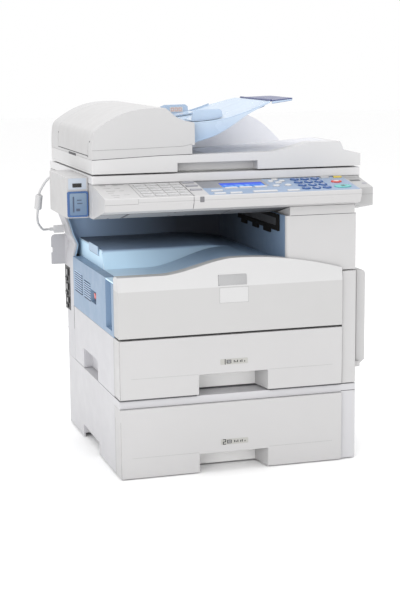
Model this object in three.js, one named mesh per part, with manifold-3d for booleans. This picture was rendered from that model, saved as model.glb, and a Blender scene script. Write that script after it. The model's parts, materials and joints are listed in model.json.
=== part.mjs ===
// A desktop multifunction photocopier standing on a second paper drawer unit.
// Millimetres, +Z up, the front faces -Y. Coordinates below are measured from the
// front left corner of the drawers at floor level; the whole model is then moved
// so that its origin is at the middle of its footprint.

import * as THREE from 'three';
import { mergeVertices } from 'three/addons/utils/BufferGeometryUtils.js';
import Module from 'manifold-3d';

const wasm = await Module();
wasm.setup();

// ---------------------------------------------------------------- driving dimensions

const BODY_WIDTH = 430.6;
const DRAWER_WIDTH = 403;
const BODY_BACK = 422;
const SEAM = 0.4;
const SKIN = 3;

const UNIT_FLOOR = 8;
const UNIT_TOP = 137.6;
const MAIN_BASE = 138.2;
const DRAWER2_TOP = 123.6;
const DRAWER1_TOP = 242.3;
const COVER_BASE = 246;
const DECK_BASE = 338;
const PILLAR_BASE = 341.9;
const CAVITY_TOP = 440.8;

const DRAWER_WRAP = 42;
const HANDLE = { left: 140, right: 265, depth: 50, height: 35, taper: 7 };
const CREASE = { height: 36, depth: 1.2 };
const SIDE_NOTCH = { front: 166, back: 298, top: 25, depth: 12 };
const PAPER_BOX = { left: 32, right: 395, front: 20.6, back: 398, height: 57 };

const SCANNER = { left: -24.3, right: 462.7, front: 71, back: 438, base: 442, split: 500, top: 515 };
const ADF = { front: 68, back: 418, base: 518, hollow: 535 };
const FEEDER_RIGHT = 157;
const CHEEK_FRONT = 97;
const CHEEK_BACK = 352.4;
const FEEDER_PIVOT = { x: -18, z: 572 };

const PANEL = { left: -24.3, right: 428, lipY: -22, lipZ: 485.2, backY: 70, backZ: 500.3 };
const PANEL_SLOPE = Math.atan2(PANEL.backZ - PANEL.lipZ, PANEL.backY - PANEL.lipY);

const PILLAR = { left: 304, front: 9, back: 410, corner: 16.6 };
const CAVITY_WALL = 301.5;
const EXIT_ROLLER = { x: 314, z: 426, front: 38, back: 266 };
const TRAY = { left: 18.3, front: 179, back: 391, top: 374 };
const DOOR = { left: 404.6, right: 430.6, front: 6, back: 398, base: 139, top: 340.3 };
const LID_AXIS = { y: 430, z: 524 };

const FOOTPRINT = { left: -62, right: 462.7, front: -22, back: 440 };

// ------------------------------------------------------------------------- materials

function plastic(color, roughness = 0.55) {
  return new THREE.MeshStandardMaterial({ color, roughness, metalness: 0 });
}

const WHITE = plastic(0xdcdbd8);
const PALE = plastic(0xe6e5e2);
const GREY = plastic(0xb4b4b8);
const DARK = plastic(0x2b2c30, 0.5);
const RUBBER = plastic(0x1c1c1e, 0.85);
const BLUE = plastic(0xa6c0dc);
const CLEAR_BLUE = plastic(0xa9c6e8, 0.25);
const DEEP_BLUE = plastic(0x5f6fae, 0.3);
const FASCIA = plastic(0xbfcad8);
const KEY_BLUE = plastic(0x2f5596);
const STEEL = new THREE.MeshStandardMaterial({ color: 0xa9acb0, roughness: 0.35, metalness: 0.9 });
const GLASS = new THREE.MeshStandardMaterial({ color: 0xcfe0dc, roughness: 0.05, metalness: 0 });

// ------------------------------------------------------------------- shape functions

function box(x0, x1, y0, y1, z0, z1) {
  const geometry = new THREE.BoxGeometry(x1 - x0, y1 - y0, z1 - z0);
  return geometry.translate((x0 + x1) / 2, (y0 + y1) / 2, (z0 + z1) / 2);
}

function outline(points) {
  return new THREE.Shape(points.map(([u, v]) => new THREE.Vector2(u, v)));
}

function extrude(shape, depth) {
  return new THREE.ExtrudeGeometry(shape, { depth, bevelEnabled: false, curveSegments: 4 });
}

// An outline of (x, z) points drawn out along Y.
function alongY(points, y0, y1) {
  return extrude(outline(points), y1 - y0).rotateX(Math.PI / 2).translate(0, y1, 0);
}

// An outline of (y, z) points drawn out along X.
function alongX(points, x0, x1) {
  const axes = new THREE.Matrix4().makeBasis(
    new THREE.Vector3(0, 1, 0), new THREE.Vector3(0, 0, 1), new THREE.Vector3(1, 0, 0));
  return extrude(outline(points), x1 - x0).applyMatrix4(axes).translate(x0, 0, 0);
}

// A plan of (x, y) points drawn upwards.
function alongZ(points, z0, z1) {
  return extrude(outline(points), z1 - z0).translate(0, 0, z0);
}

// A round bar along Y.
function rodY(x, z, radius, y0, y1, sides = 24) {
  return new THREE.CylinderGeometry(radius, radius, y1 - y0, sides).translate(x, (y0 + y1) / 2, z);
}

// A round bar along X.
function rodX(y, z, radius, x0, x1, sides = 20) {
  const bar = new THREE.CylinderGeometry(radius, radius, x1 - x0, sides).rotateZ(Math.PI / 2);
  return bar.translate((x0 + x1) / 2, y, z);
}

// A turned part along Y from [radius, y] steps.
function turnedY(x, z, steps, sides = 24) {
  const first = new THREE.Vector2(0, steps[0][1]);
  const last = new THREE.Vector2(0, steps[steps.length - 1][1]);
  const profile = [first, ...steps.map(([radius, y]) => new THREE.Vector2(radius, y)), last];
  return new THREE.LatheGeometry(profile, sides).translate(x, 0, z);
}

function solidOf(geometry) {
  const bare = geometry.clone();
  bare.deleteAttribute('normal');
  bare.deleteAttribute('uv');
  const merged = mergeVertices(bare, 1e-4);
  const mesh = new wasm.Mesh({
    numProp: 3,
    vertProperties: new Float32Array(merged.attributes.position.array),
    triVerts: new Uint32Array(merged.index.array),
  });
  return new wasm.Manifold(mesh);
}

function geometryOf(solid) {
  const mesh = solid.getMesh();
  const geometry = new THREE.BufferGeometry();
  geometry.setAttribute('position', new THREE.BufferAttribute(new Float32Array(mesh.vertProperties), 3));
  geometry.setIndex(new THREE.BufferAttribute(new Uint32Array(mesh.triVerts), 1));
  geometry.computeVertexNormals();
  return geometry;
}

function join(...geometries) {
  return geometryOf(geometries.map(solidOf).reduce((whole, piece) => whole.add(piece)));
}

function cut(base, ...tools) {
  return geometryOf(tools.map(solidOf).reduce((whole, tool) => whole.subtract(tool), solidOf(base)));
}

function common(a, b) {
  return geometryOf(solidOf(a).intersect(solidOf(b)));
}

function smoothstep(t) {
  const s = THREE.MathUtils.clamp(t, 0, 1);
  return s * s * (3 - 2 * s);
}

function sample(curve, from, to, steps) {
  return Array.from({ length: steps + 1 }, (_, i) => {
    const x = from + ((to - from) * i) / steps;
    return [x, curve(x)];
  });
}

// Points of a smooth curve through the given ones.
function smooth(points, steps) {
  const curve = new THREE.SplineCurve(points.map(([x, z]) => new THREE.Vector2(x, z)));
  return curve.getPoints(steps).map((p) => [p.x, p.y]);
}

function range(count) {
  return Array.from({ length: count }, (_, i) => i);
}

const machine = new THREE.Group();
machine.position.set(
  -(FOOTPRINT.left + FOOTPRINT.right) / 2, -(FOOTPRINT.front + FOOTPRINT.back) / 2, 0);

function add(name, geometry, material, parent = machine) {
  const mesh = new THREE.Mesh(geometry, material);
  mesh.name = name;
  parent.add(mesh);
}

// ---------------------------------------------------------------------- paper drawers

// The front leans in below a crease. A hand hold that narrows towards its back is cut
// through its lower edge, and its left end wraps the side.
function drawerFront(base, top, handleTop) {
  const { left, right, depth, taper } = HANDLE;
  const crease = base + CREASE.height;
  const face = (back) => [[0, top], [0, crease], [CREASE.depth, base], [back, base], [back, top]];
  const shell = join(
    alongX(face(20), 0.2, DRAWER_WIDTH - 0.2),
    alongX(face(DRAWER_WRAP), 0.2, 3.8),
    box(left - SKIN, right + SKIN, 2, depth + SKIN, base, handleTop + SKIN));
  const hold = alongZ([[left, -1], [right, -1], [right, 2], [right - taper, depth], [left + taper, depth],
    [left, 2]], base - 1, handleTop);
  return cut(shell, hold,
    box(7, left - SKIN, SKIN + 1.5, 21, base + SKIN, handleTop + SKIN + 1),
    box(right + SKIN, 396, SKIN + 1.5, 21, base + SKIN, handleTop + SKIN + 1),
    box(7, 396, SKIN + 1.5, 21, handleTop + SKIN, top - SKIN));
}

// An open box whose front wall steps round the back of the hand hold.
function paperBox(base) {
  const { left, right, front, back, height } = PAPER_BOX;
  const step = (grow) => box(HANDLE.left - SKIN - grow, HANDLE.right + SKIN + grow, front - 1,
    HANDLE.depth + SKIN + grow, base - 1, base + height + 2);
  const outer = cut(box(left, right, front, back, base, base + height), step(0.6));
  const inner = cut(box(left + 2, right - 2, front + 2, back - 2, base + 2, base + height + 1), step(2.6));
  return cut(outer, inner);
}

function liftPlate(base) {
  const plate = box(62, 388, 76, 390, base, base + 2);
  return cut(plate, box(180, 230, 75, 140, base - 1, base + 3), box(180, 230, 330, 391, base - 1, base + 3));
}

function feedRoller(z) {
  return turnedY(372, z, [[4, 110], [4, 190], [14, 190], [14, 250], [4, 250], [4, 418]]);
}

function shaftBracket(z, ceiling) {
  return cut(box(362, 382, 116, 119, z - 9, ceiling), rodY(372, z, 4.4, 100, 130));
}

const ROLLER2_Z = 89;
const ROLLER1_Z = 222;

// A pocket in the lower edge of each side, which fingers use to lift the unit.
function notchSpace() {
  const { front, back, top, depth } = SIDE_NOTCH;
  return [box(-1, depth, front, back, 1, top), box(BODY_WIDTH - depth, BODY_WIDTH + 1, front, back, 1, top)];
}

function notchWalls() {
  const { front, back, top, depth } = SIDE_NOTCH;
  const wall = (x0, x1) => box(x0, x1, front - SKIN, back + SKIN, UNIT_FLOOR, top + SKIN);
  return [cut(wall(0, depth + SKIN), notchSpace()[0]),
    cut(wall(BODY_WIDTH - depth - SKIN, BODY_WIDTH), notchSpace()[1])];
}

function feedUnitHousing() {
  const skirt = 2;
  const shell = join(
    box(0, BODY_WIDTH, 24, BODY_BACK, UNIT_FLOOR, UNIT_TOP),
    box(0, BODY_WIDTH, 6, 24, DRAWER2_TOP + SEAM, UNIT_TOP),
    box(DRAWER_WIDTH, BODY_WIDTH, 6, 24, UNIT_FLOOR, UNIT_TOP),
    box(DRAWER_WIDTH + 0.5, BODY_WIDTH, 6, 10, skirt, UNIT_FLOOR + 1),
    box(0, 3.5, DRAWER_WRAP + SEAM, BODY_BACK, skirt, UNIT_FLOOR + 1),
    box(BODY_WIDTH - 3.5, BODY_WIDTH, 6, BODY_BACK, skirt, UNIT_FLOOR + 1));
  const open = cut(shell,
    box(3.5, DRAWER_WIDTH + 0.5, -1, 416, 11, DRAWER2_TOP + SEAM),
    box(-1, 4.4, -1, DRAWER_WRAP + SEAM, 1, DRAWER2_TOP + SEAM),
    box(12, DRAWER_WIDTH - 8, 14, 410, DRAWER2_TOP - 1, UNIT_TOP - SKIN),
    box(DRAWER_WIDTH + 4, BODY_WIDTH - 3.5, 10, 416, UNIT_FLOOR - 1, UNIT_TOP - 6),
    box(DRAWER_WIDTH, BODY_WIDTH + 1, 5, 6.9, 125, 126),
    box(3.5, DRAWER_WIDTH + 0.5, -1, 60, 7, 12),
    box(56, 380, 59, 380, 7, 12),
    rodY(372, ROLLER2_Z, 4.4, 410, 430),
    ...notchSpace());
  return join(open, ...notchWalls(), shaftBracket(ROLLER2_Z, UNIT_TOP - 1));
}

function buildFeedUnit() {
  const drawerBase = 2;
  const handleTop = HANDLE.height;
  add('feed_unit_housing', feedUnitHousing(), WHITE);
  for (const [side, x] of [['left', 34], ['right', 400]]) {
    for (const [end, y] of [['front', 85], ['rear', 392]]) {
      const foot = new THREE.CylinderGeometry(13, 11.5, UNIT_FLOOR - 0.3, 20).rotateX(Math.PI / 2);
      add(`foot_${end}_${side}`, foot.translate(x, y, (UNIT_FLOOR - 0.3) / 2), RUBBER);
    }
  }
  add('tray2_front', drawerFront(drawerBase, DRAWER2_TOP, handleTop), WHITE);
  add('tray2_box', paperBox(11.5), GREY);
  add('tray2_lift_plate', liftPlate(17), STEEL);
  add('tray2_feed_roller', feedRoller(ROLLER2_Z), RUBBER);
}

function buildMainDrawer() {
  const drawerBase = MAIN_BASE + 2.1;
  const handleTop = drawerBase + HANDLE.height;
  add('tray1_front', drawerFront(drawerBase, DRAWER1_TOP, handleTop), WHITE);
  add('tray1_box', paperBox(142.4), GREY);
  add('tray1_lift_plate', liftPlate(148), STEEL);
  add('tray1_feed_roller', feedRoller(ROLLER1_Z), RUBBER);
}

// ------------------------------------------------------------------------- main frame

const GRIP = { front: 167, back: 284, top: 175.5, depth: 16 };
const SIDE_BASE = DRAWER1_TOP + 1.1;
const TONER = { x: 118, z: 292, radius: 33 };
const DRUM = { x: 318, z: 282, radius: 15 };
const FUSER = { x: 376, z: 300, radius: 14 };

function mainFrame() {
  const left = 4.2;
  const right = 403.4;
  const back = 414;
  const plates = join(
    box(left, right, 68, back, MAIN_BASE, MAIN_BASE + 2.4),
    box(left, left + 2.4, 68, back, MAIN_BASE, SIDE_BASE + 3),
    box(right - 3, right, 24, back, MAIN_BASE, 336),
    box(left, right, 22.6, back, SIDE_BASE, SIDE_BASE + 3),
    box(left, right, back - 3, back, MAIN_BASE, 332),
    box(20, right, back - 3, back, 331, 437),
    box(13, 15.4, 44, back, SIDE_BASE, 331),
    box(13, right, 44, 47, SIDE_BASE, 331),
    shaftBracket(ROLLER1_Z, SIDE_BASE + 1));
  return cut(plates,
    box(0, GRIP.depth + 4, GRIP.front - 5, GRIP.back + 5, MAIN_BASE - 1, GRIP.top + 5),
    box(60, 340, 120, 340, MAIN_BASE - 1, MAIN_BASE + 4),
    rodY(372, ROLLER1_Z, 4.4, 405, 420),
    rodY(TONER.x, TONER.z, TONER.radius + 1, 40, 50, 40),
    rodY(DRUM.x, DRUM.z, DRUM.radius + 0.6, 40, 50, 32),
    rodY(FUSER.x, FUSER.z, 5.4, 40, 50),
    ...[TONER, DRUM, FUSER].map(({ x, z }) => rodY(x, z, 5.4, 405, 420)));
}

function sideGripCover() {
  const back = 361;
  const panel = join(
    box(0, 3.8, DRAWER_WRAP + SEAM, back, MAIN_BASE, DRAWER1_TOP),
    box(0, GRIP.depth + 2, GRIP.front - SKIN, GRIP.back + SKIN, MAIN_BASE, GRIP.top + SKIN));
  return cut(panel, box(-1, GRIP.depth, GRIP.front, GRIP.back, MAIN_BASE - 1, GRIP.top));
}

const SWITCH = { front: 167, back: 211, base: 277, top: 299.5 };
const ROCKER = { front: 171, back: 182, z: 292 };
const LOUVRE = { base: 276, pitch: 4.3, height: 2.2 };

function louvre(y0, y1, row) {
  const base = LOUVRE.base + LOUVRE.pitch * row;
  return box(-1, 5, y0, y1, base, base + LOUVRE.height);
}

// The blue left cover: louvres, a sunken power switch, a ledge on top, and a groove behind
// the strip at its front corner.
function ventCover() {
  const front = 93;
  const back = 361;
  const base = DRAWER1_TOP + 0.6;
  const floor = SIDE_BASE + 3.5;
  const top = DECK_BASE - 3.6;
  const stripBack = 49;
  const panel = join(
    box(0, 3.5, front, back, base, DECK_BASE),
    box(0, 3.5, 35.6, front + 1, base, 252),
    box(0, 12, stripBack - SKIN, front + 1, floor, 252),
    box(0, 12, front, front + SKIN, floor, DECK_BASE),
    box(0, SKIN, 35.6, stripBack, floor, top),
    box(0, 12, stripBack - SKIN, stripBack, floor, top),
    box(9, 12, stripBack - SKIN, front + 1, floor, top),
    box(0, 17.6, front, back, DECK_BASE - SKIN, DECK_BASE),
    box(0, 9.5, SWITCH.front - SKIN, SWITCH.back + SKIN, SWITCH.base - SKIN, SWITCH.top + SKIN));
  const slots = [...range(9).map((row) => louvre(279, 347, row)), ...range(7).map((row) => louvre(213, 268, row + 1))];
  return cut(panel, box(-1, 7.5, SWITCH.front, SWITCH.back, SWITCH.base, SWITCH.top), ...slots);
}

function powerSwitch() {
  const { front, back, z } = ROCKER;
  return alongY([[0.2, z - 5], [6.6, z - 2.5], [6.9, z], [6.6, z + 2.5], [-0.8, z + 5], [0, z]], front, back);
}

// Height of the front cover's wavy upper edge.
function waveTop(x) {
  const fall = Math.max(0, (x - 215) / 188);
  return 350 + 24 * smoothstep((x - 75) / 135) - 26.6 * fall * fall;
}

const COVER_LEAN = { base: 325.7, top: 374, depth: 6 };

function frontCover() {
  const top = COVER_LEAN.top + 2;
  const lipDepth = 27;
  const leanAt = (z) => COVER_LEAN.depth * (z - COVER_LEAN.base) / (COVER_LEAN.top - COVER_LEAN.base);
  const wave = (x0, x1, drop, base) => [
    [x0, base], ...sample((x) => waveTop(x) - drop, x0, x1, 30), [x1, base]];
  const face = (depth, back) => [
    [depth, COVER_BASE - 1], [depth, COVER_LEAN.base], [depth + leanAt(top), top], [back, top],
    [back, COVER_BASE - 1]];
  const outer = common(
    alongY(wave(0.2, DRAWER_WIDTH - 0.2, 0, COVER_BASE), -1, lipDepth), alongX(face(0, lipDepth), -1, 410));
  const inner = common(
    alongY(wave(3.7, DRAWER_WIDTH - 3.2, SKIN, COVER_BASE - 2), -1, lipDepth + 1),
    alongX(face(SKIN, lipDepth + 1), 0, 410));
  const shell = cut(outer, inner, box(CAVITY_WALL - SEAM, 410, PILLAR.front - SEAM, 30, COVER_BASE - 1, 380));
  return join(shell, box(0.2, 3.7, lipDepth - 1, 35, COVER_BASE, 347));
}

function cartridge({ x, z, radius }) {
  return turnedY(x, z, [[radius - 6, 36], [radius, 40], [radius, 330], [5, 334], [5, 418]], 32);
}

function drumRoller() {
  return turnedY(DRUM.x, DRUM.z, [[DRUM.radius - 4, 40], [DRUM.radius, 42], [DRUM.radius, 340], [5, 340], [5, 418]]);
}

function fuserRoller() {
  return turnedY(FUSER.x, FUSER.z, [[5, 40], [5, 60], [FUSER.radius, 60], [FUSER.radius, 372], [5, 372], [5, 418]]);
}

// ---------------------------------------------------------------------- output cavity

function trayTop(x) {
  return TRAY.top - 26 * Math.max(0, (x - 215) / 151) ** 1.2;
}

function deckTop(x) {
  return Math.min(DECK_BASE + 31 * smoothstep((x - 100) / 135), trayTop(x));
}

// The left edge of the rear column leans outwards towards the scanner.
const FLARE = [[0, 338], [5.5, 360], [-2.7, 378], [-8.9, 399], [-15.8, 418], [-23.6, CAVITY_TOP]];

function band(points, shift, width) {
  const outer = points.map(([x, z]) => [x + shift, z]);
  const inner = points.map(([x, z]) => [x + shift + width, z]).reverse();
  return [...outer, ...inner];
}

function sheetUnder(curve, x0, x1, steps) {
  const top = sample(curve, x0, x1, steps);
  return [...top, ...top.map(([x, z]) => [x, z - SKIN]).reverse()];
}

// The blue inner moulding: the ledge, the raised tray, the cavity's back wall and the wall
// under the paper exit, which has a window for the exit rollers.
function outputTray() {
  const right = PILLAR.left - SEAM;
  const left = TRAY.left;
  const wallBack = TRAY.back + SKIN;
  const frontWall = [
    [left + 1.7, DECK_BASE - SKIN], ...sample(trayTop, left, right, 12), [right, DECK_BASE - SKIN]];
  const leftWall = [
    [left + 1.7, DECK_BASE - SKIN], [left, TRAY.top], [left + SKIN, TRAY.top], [left + 4.7, DECK_BASE - SKIN]];
  const backWall = [
    ...FLARE.map(([x, z]) => [x + 4.1, z]), [right, CAVITY_TOP], [right, DECK_BASE]];
  const moulding = join(
    alongY(sheetUnder(trayTop, left, right, 12), TRAY.front, TRAY.back + 1),
    alongY(frontWall, TRAY.front, TRAY.front + SKIN),
    alongY(leftWall, TRAY.front, TRAY.back + 1),
    alongY(sheetUnder(deckTop, 18, right, 24), 92, TRAY.front + 1),
    alongY(sheetUnder(deckTop, 0.2, right, 24), 35.6, 92.6),
    alongY(sheetUnder(deckTop, 4.2, right, 24), 27.4, 36),
    alongY(backWall, TRAY.back, wallBack),
    box(CAVITY_WALL, right, PILLAR.corner + SEAM, wallBack, PILLAR_BASE + 1, CAVITY_TOP),
    alongY(band(FLARE, 4.1, 2.4), 362, TRAY.back + 1));
  return cut(moulding, box(CAVITY_WALL - 1, right + 1, 48, 256, 417, 435));
}

function paperStop() {
  return box(TRAY.left - 2.6, TRAY.left - 0.4, 219, 290, TRAY.top - 15, TRAY.top + 0.6);
}

// The right column. Its front left corner is rounded and covers the end of the blue wall.
function exitPillar() {
  const { left, front, back, corner } = PILLAR;
  const { x, z, front: rollerFront, back: rollerBack } = EXIT_ROLLER;
  const underside = (y) => 462.5 - (y + 15.6) * 0.2382;
  const plan = [[BODY_WIDTH, front], [308.5, front], [305.6, front + 0.7], [303.4, front + 2.3],
    [302, front + 4.7], [CAVITY_WALL, corner], [left, corner], [left, back], [BODY_WIDTH, back]];
  const block = join(
    alongZ(plan, PILLAR_BASE, CAVITY_TOP),
    alongX([[front, CAVITY_TOP - 1], [front, underside(front)], [70, underside(70)],
      [70, CAVITY_TOP - 1]], 308.5, PANEL.right));
  const hollowed = cut(block,
    box(left + SKIN, BODY_WIDTH - SKIN, corner + 4, back - SKIN, PILLAR_BASE - 1, CAVITY_TOP - SKIN),
    box(left - 1, left + SKIN + 1, rollerFront + 4, rollerBack - 4, 412, CAVITY_TOP - SKIN));
  const bearing = (y0) => box(left + 2, x + 8, y0, y0 + SKIN, z - 8, CAVITY_TOP - 2);
  return cut(join(hollowed, bearing(rollerFront - SKIN), bearing(rollerBack)),
    rodY(x, z, 3.6, rollerFront - 5, rollerBack + 5, 16));
}

// The black frame round the paper exit, with three fingers that hang from it.
function exitFrame() {
  const left = 297;
  const right = CAVITY_WALL - SEAM;
  const plate = box(left, right, 42, 262, 411, CAVITY_TOP - 1);
  const fingers = [[86, 118], [150, 178], [216, 242]].map(([y0, y1]) => box(left, right, y0, y1, 404, 412));
  return cut(join(plate, ...fingers), box(left - 1, right + 1, 50, 254, 419, 433));
}

function exitRoller() {
  const { x, z, front, back } = EXIT_ROLLER;
  return turnedY(x, z, [[3, front - 3], [3, 76], [7, 76], [7, 100], [3, 100], [3, 204], [7, 204], [7, 228], [3, 228],
    [3, back + 3]], 20);
}

// ----------------------------------------------------------------- rear and right side

function rearCover() {
  const innerY = BODY_BACK - 3.5;
  const wrapFront = 361.5;
  const wall = [[0, MAIN_BASE], ...FLARE];
  const shell = join(
    alongY([...wall, [BODY_WIDTH, CAVITY_TOP], [BODY_WIDTH, MAIN_BASE]], innerY, BODY_BACK),
    alongY(band(wall, 0, 3.5), wrapFront, innerY + 1),
    box(BODY_WIDTH - 3.5, BODY_WIDTH, DOOR.back + SEAM, innerY + 1, MAIN_BASE, PILLAR_BASE - 0.6),
    box(BODY_WIDTH - 3.5, BODY_WIDTH, PILLAR.back + SEAM, innerY + 1, PILLAR_BASE - 1, CAVITY_TOP),
    box(0.2, 300, BODY_BACK - 1, FOOTPRINT.back, 225, 373),
    alongY([[-28.5, 315], [-28.5, 366], [-26.6, 370.8], [-21.5, 373], [5, 373], [5, 315]], 426, 429),
    box(327, 367, innerY - 3.7, innerY + 1, 157, 189));
  const inlet = box(330, 364, innerY - 1.7, BODY_BACK + 1, 160, 186);
  const portBay = box(-1, 8, 424.5, 437, 228, 312);
  return cut(shell, inlet, portBay, box(-30, -26, 425, 430, 338, 348),
    box(12, 296, innerY - 1, FOOTPRINT.back - SKIN, 229, 369));
}

function rightDoor() {
  const { left, right, front, back, base, top } = DOOR;
  const lug = (y0, y1) => box(right - 1, 443, y0, y1, 165, 175);
  const shell = cut(
    box(left, right, front, back, base, top),
    box(left - 1, right - SKIN, front + SKIN, back - SKIN, base + SKIN, top - SKIN));
  return join(shell, lug(14, 21.5), lug(322.5, 330));
}

function bypassTray() {
  const section = [[438, 166], [442, 166], [455, 176], [455, 331], [454, 334.6], [451.4, 337.1], [448, 338], [438, 338]];
  return cut(alongY(section, 22, 322), box(437, 452, 25, 319, 180, 330));
}

// ---------------------------------------------------------------------------- scanner

const SCAN_GLASS = { left: 62, right: 430, front: 105, back: 335 };

function scannerBase() {
  const { left, right, front, back, base, split } = SCANNER;
  return cut(
    box(left, right, front, back, base, split),
    box(left + SKIN, right - SKIN, front + SKIN, back - SKIN, base + SKIN, split + 1));
}

function scannerTop() {
  const { left, right, front, back, split, top } = SCANNER;
  const { left: gl, right: gr, front: gf, back: gb } = SCAN_GLASS;
  return cut(
    box(left, right, front - 1, back, split + SEAM, top),
    box(left + SKIN, right - SKIN, front + SKIN, back - SKIN, split, top - 4),
    box(gl, gr, gf, gb, split, top + 1),
    box(gl - 3, gr + 3, gf - 3, gb + 3, top - 2.6, top + 1),
    box(26, 46, gf, gb, split, top + 1));
}

function exposureGlass() {
  const { left, right, front, back } = SCAN_GLASS;
  return box(left - 2.6, right + 2.6, front - 2.6, back + 2.6, SCANNER.top - 2.3, SCANNER.top);
}

function scanCarriage() {
  return alongY([[20, 456], [52, 456], [52, 484], [46, 492], [42, 492], [42, 470], [30, 470], [30, 492],
    [24, 492], [20, 484]], 95, 345);
}

function mirrorCarriage() {
  return alongY([[-16, 456], [8, 456], [14, 462], [14, 480], [-8, 480], [-16, 470]], 95, 345);
}

// ---------------------------------------------------------------------- control panel

const panelFrame = new THREE.Matrix4().makeRotationX(PANEL_SLOPE).setPosition(0, PANEL.lipY, PANEL.lipZ);
const panelGroup = new THREE.Group();
panelGroup.applyMatrix4(panelFrame);
machine.add(panelGroup);

const FASCIA_AREA = { left: 129, right: 426.4, near: 2, far: 91.5, thick: 2 };
const KEY_TOP = 1.6;
const KEY_WEB = { top: -3.6, base: -5.2 };

function keyCap(x, s, width, height, round = 0) {
  const shape = round
    ? new THREE.Shape().absellipse(x, s, width / 2, height / 2, 0, Math.PI * 2)
    : outline([[x - width / 2, s - height / 2], [x + width / 2, s - height / 2],
      [x + width / 2, s + height / 2], [x - width / 2, s + height / 2]]);
  return { shape, x, s, width, height, round };
}

function capSolid({ x, s, width, height, round }, grow = 0, base = KEY_WEB.base, top = KEY_TOP) {
  const cap = keyCap(x, s, width + 2 * grow, height + 2 * grow, round);
  const segments = { depth: top - base, bevelEnabled: false, curveSegments: round ? 9 : 1 };
  return new THREE.ExtrudeGeometry(cap.shape, segments).translate(0, 0, base);
}

const NUMBER_COLUMNS = [333.5, 352.5, 371.5];
const NUMBER_ROWS = [79.4, 59.5, 39.8, 19.4];
const numberKeys = [
  ...NUMBER_ROWS.flatMap((s) => NUMBER_COLUMNS.map((x) => keyCap(x, s, 15.6, 13, 1))),
  keyCap(392.5, 85, 16, 6), keyCap(416.5, 85, 15, 6)];
const cursorKeys = [
  keyCap(298, 83, 12, 7.5, 1), keyCap(287.2, 72, 10, 8, 1), keyCap(307.8, 72, 10, 8, 1), keyCap(298, 61.5, 12, 7.5, 1),
  keyCap(287, 42, 12.5, 7.5, 1), keyCap(309, 43.5, 11.5, 9.5, 1)];
const functionKeys = [
  ...[84, 62.5, 37].map((s) => keyCap(141.5, s, 20, 6)),
  ...[205, 231, 258].map((x) => keyCap(x, 39.5, 21, 5)),
  keyCap(175, 25, 20, 6), keyCap(175, 7.5, 20, 5), keyCap(203.5, 7.5, 21, 5), keyCap(256, 9.5, 42, 6),
  keyCap(306, 8.5, 21, 5)];
const startKey = keyCap(402, 23, 31, 17, 1);
const stopKey = keyCap(402.5, 55, 19.5, 13.5, 1);
const ONE_TOUCH = { left: 42, right: 127, near: 6, far: 88, columns: 4, rows: 5 };
const oneTouchKeys = range(ONE_TOUCH.rows).flatMap((row) => range(ONE_TOUCH.columns).map((column) => {
  const pitchX = (ONE_TOUCH.right - ONE_TOUCH.left) / ONE_TOUCH.columns;
  const pitchS = (ONE_TOUCH.far - ONE_TOUCH.near) / ONE_TOUCH.rows;
  return keyCap(ONE_TOUCH.left + pitchX * (column + 0.5), ONE_TOUCH.near + pitchS * (row + 0.5), 17.5, 11);
}));

function web(x0, x1, s0, s1) {
  return box(x0, x1, s0, s1, KEY_WEB.base, KEY_WEB.top);
}

function keyGroup(caps, ...webs) {
  return join(...webs, ...caps.map((cap) => capSolid(cap)));
}

function panelCase() {
  const { left, right } = PANEL;
  const back = SCANNER.front - SEAM - 1;
  const outer = [[back, 442.6], [back, 500.1], [-20.5, 485.4], [-22, 484], [-21.6, 474.5], [-15.6, 462.9]];
  const inner = [[back + 1, 446], [back + 1, 496.9], [-17.5, 482.5], [-17.8, 475], [-13, 466.2]];
  const shell = cut(alongX(outer, left, right), alongX(inner, left + SKIN, right - SKIN));
  const { left: fl, right: fr, near, far, thick } = FASCIA_AREA;
  const pocket = box(fl - SEAM, fr + SEAM, near - SEAM, far + 9, -thick - 0.3, 5).applyMatrix4(panelFrame);
  const window = box(fl + 2, fr - 2, near + 1.5, far - 2, -9, 5).applyMatrix4(panelFrame);
  const holes = oneTouchKeys.map((key) => capSolid(key, 0.4, -9, 5).applyMatrix4(panelFrame));
  return cut(shell, pocket, window, ...holes);
}

const LCD = { left: 193, right: 270, near: 47.5, far: 75 };

function panelFascia() {
  const { left, right, near, far, thick } = FASCIA_AREA;
  const keys = [...numberKeys, ...cursorKeys, ...functionKeys, startKey, stopKey];
  return cut(
    box(left, right, near, far, -thick, 0),
    box(LCD.left - SEAM, LCD.right + SEAM, LCD.near - SEAM, LCD.far + SEAM, -5, 5),
    ...keys.map((key) => capSolid(key, 0.4, -5, 5)));
}

function buildPanel() {
  add('panel_case', panelCase(), WHITE);
  add('panel_fascia', panelFascia(), FASCIA, panelGroup);
  add('lcd_screen', box(LCD.left, LCD.right, LCD.near, LCD.far, -3.2, -0.5), plastic(0x3f6fd8, 0.15), panelGroup);
  add('number_keys', keyGroup(numberKeys, web(325, 380, 14, 88), web(379, 423.6, 82, 88)), KEY_BLUE, panelGroup);
  add('cursor_keys', keyGroup(cursorKeys, web(281, 315, 38, 87)), KEY_BLUE, panelGroup);
  add('function_keys', keyGroup(functionKeys,
    web(132, 151, 34, 87), web(132, 270, 36, 42), web(166, 184, 5, 37), web(166, 317, 5, 10)), PALE, panelGroup);
  add('start_key', keyGroup([startKey], web(390, 414, 16, 30)), plastic(0x3aa7a0, 0.4), panelGroup);
  add('stop_key', keyGroup([stopKey], web(394, 411, 50, 60)), plastic(0xc23a32, 0.4), panelGroup);
  add('one_touch_keys', keyGroup(oneTouchKeys, web(44, 125, 8, 86)), PALE, panelGroup);
}

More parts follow.
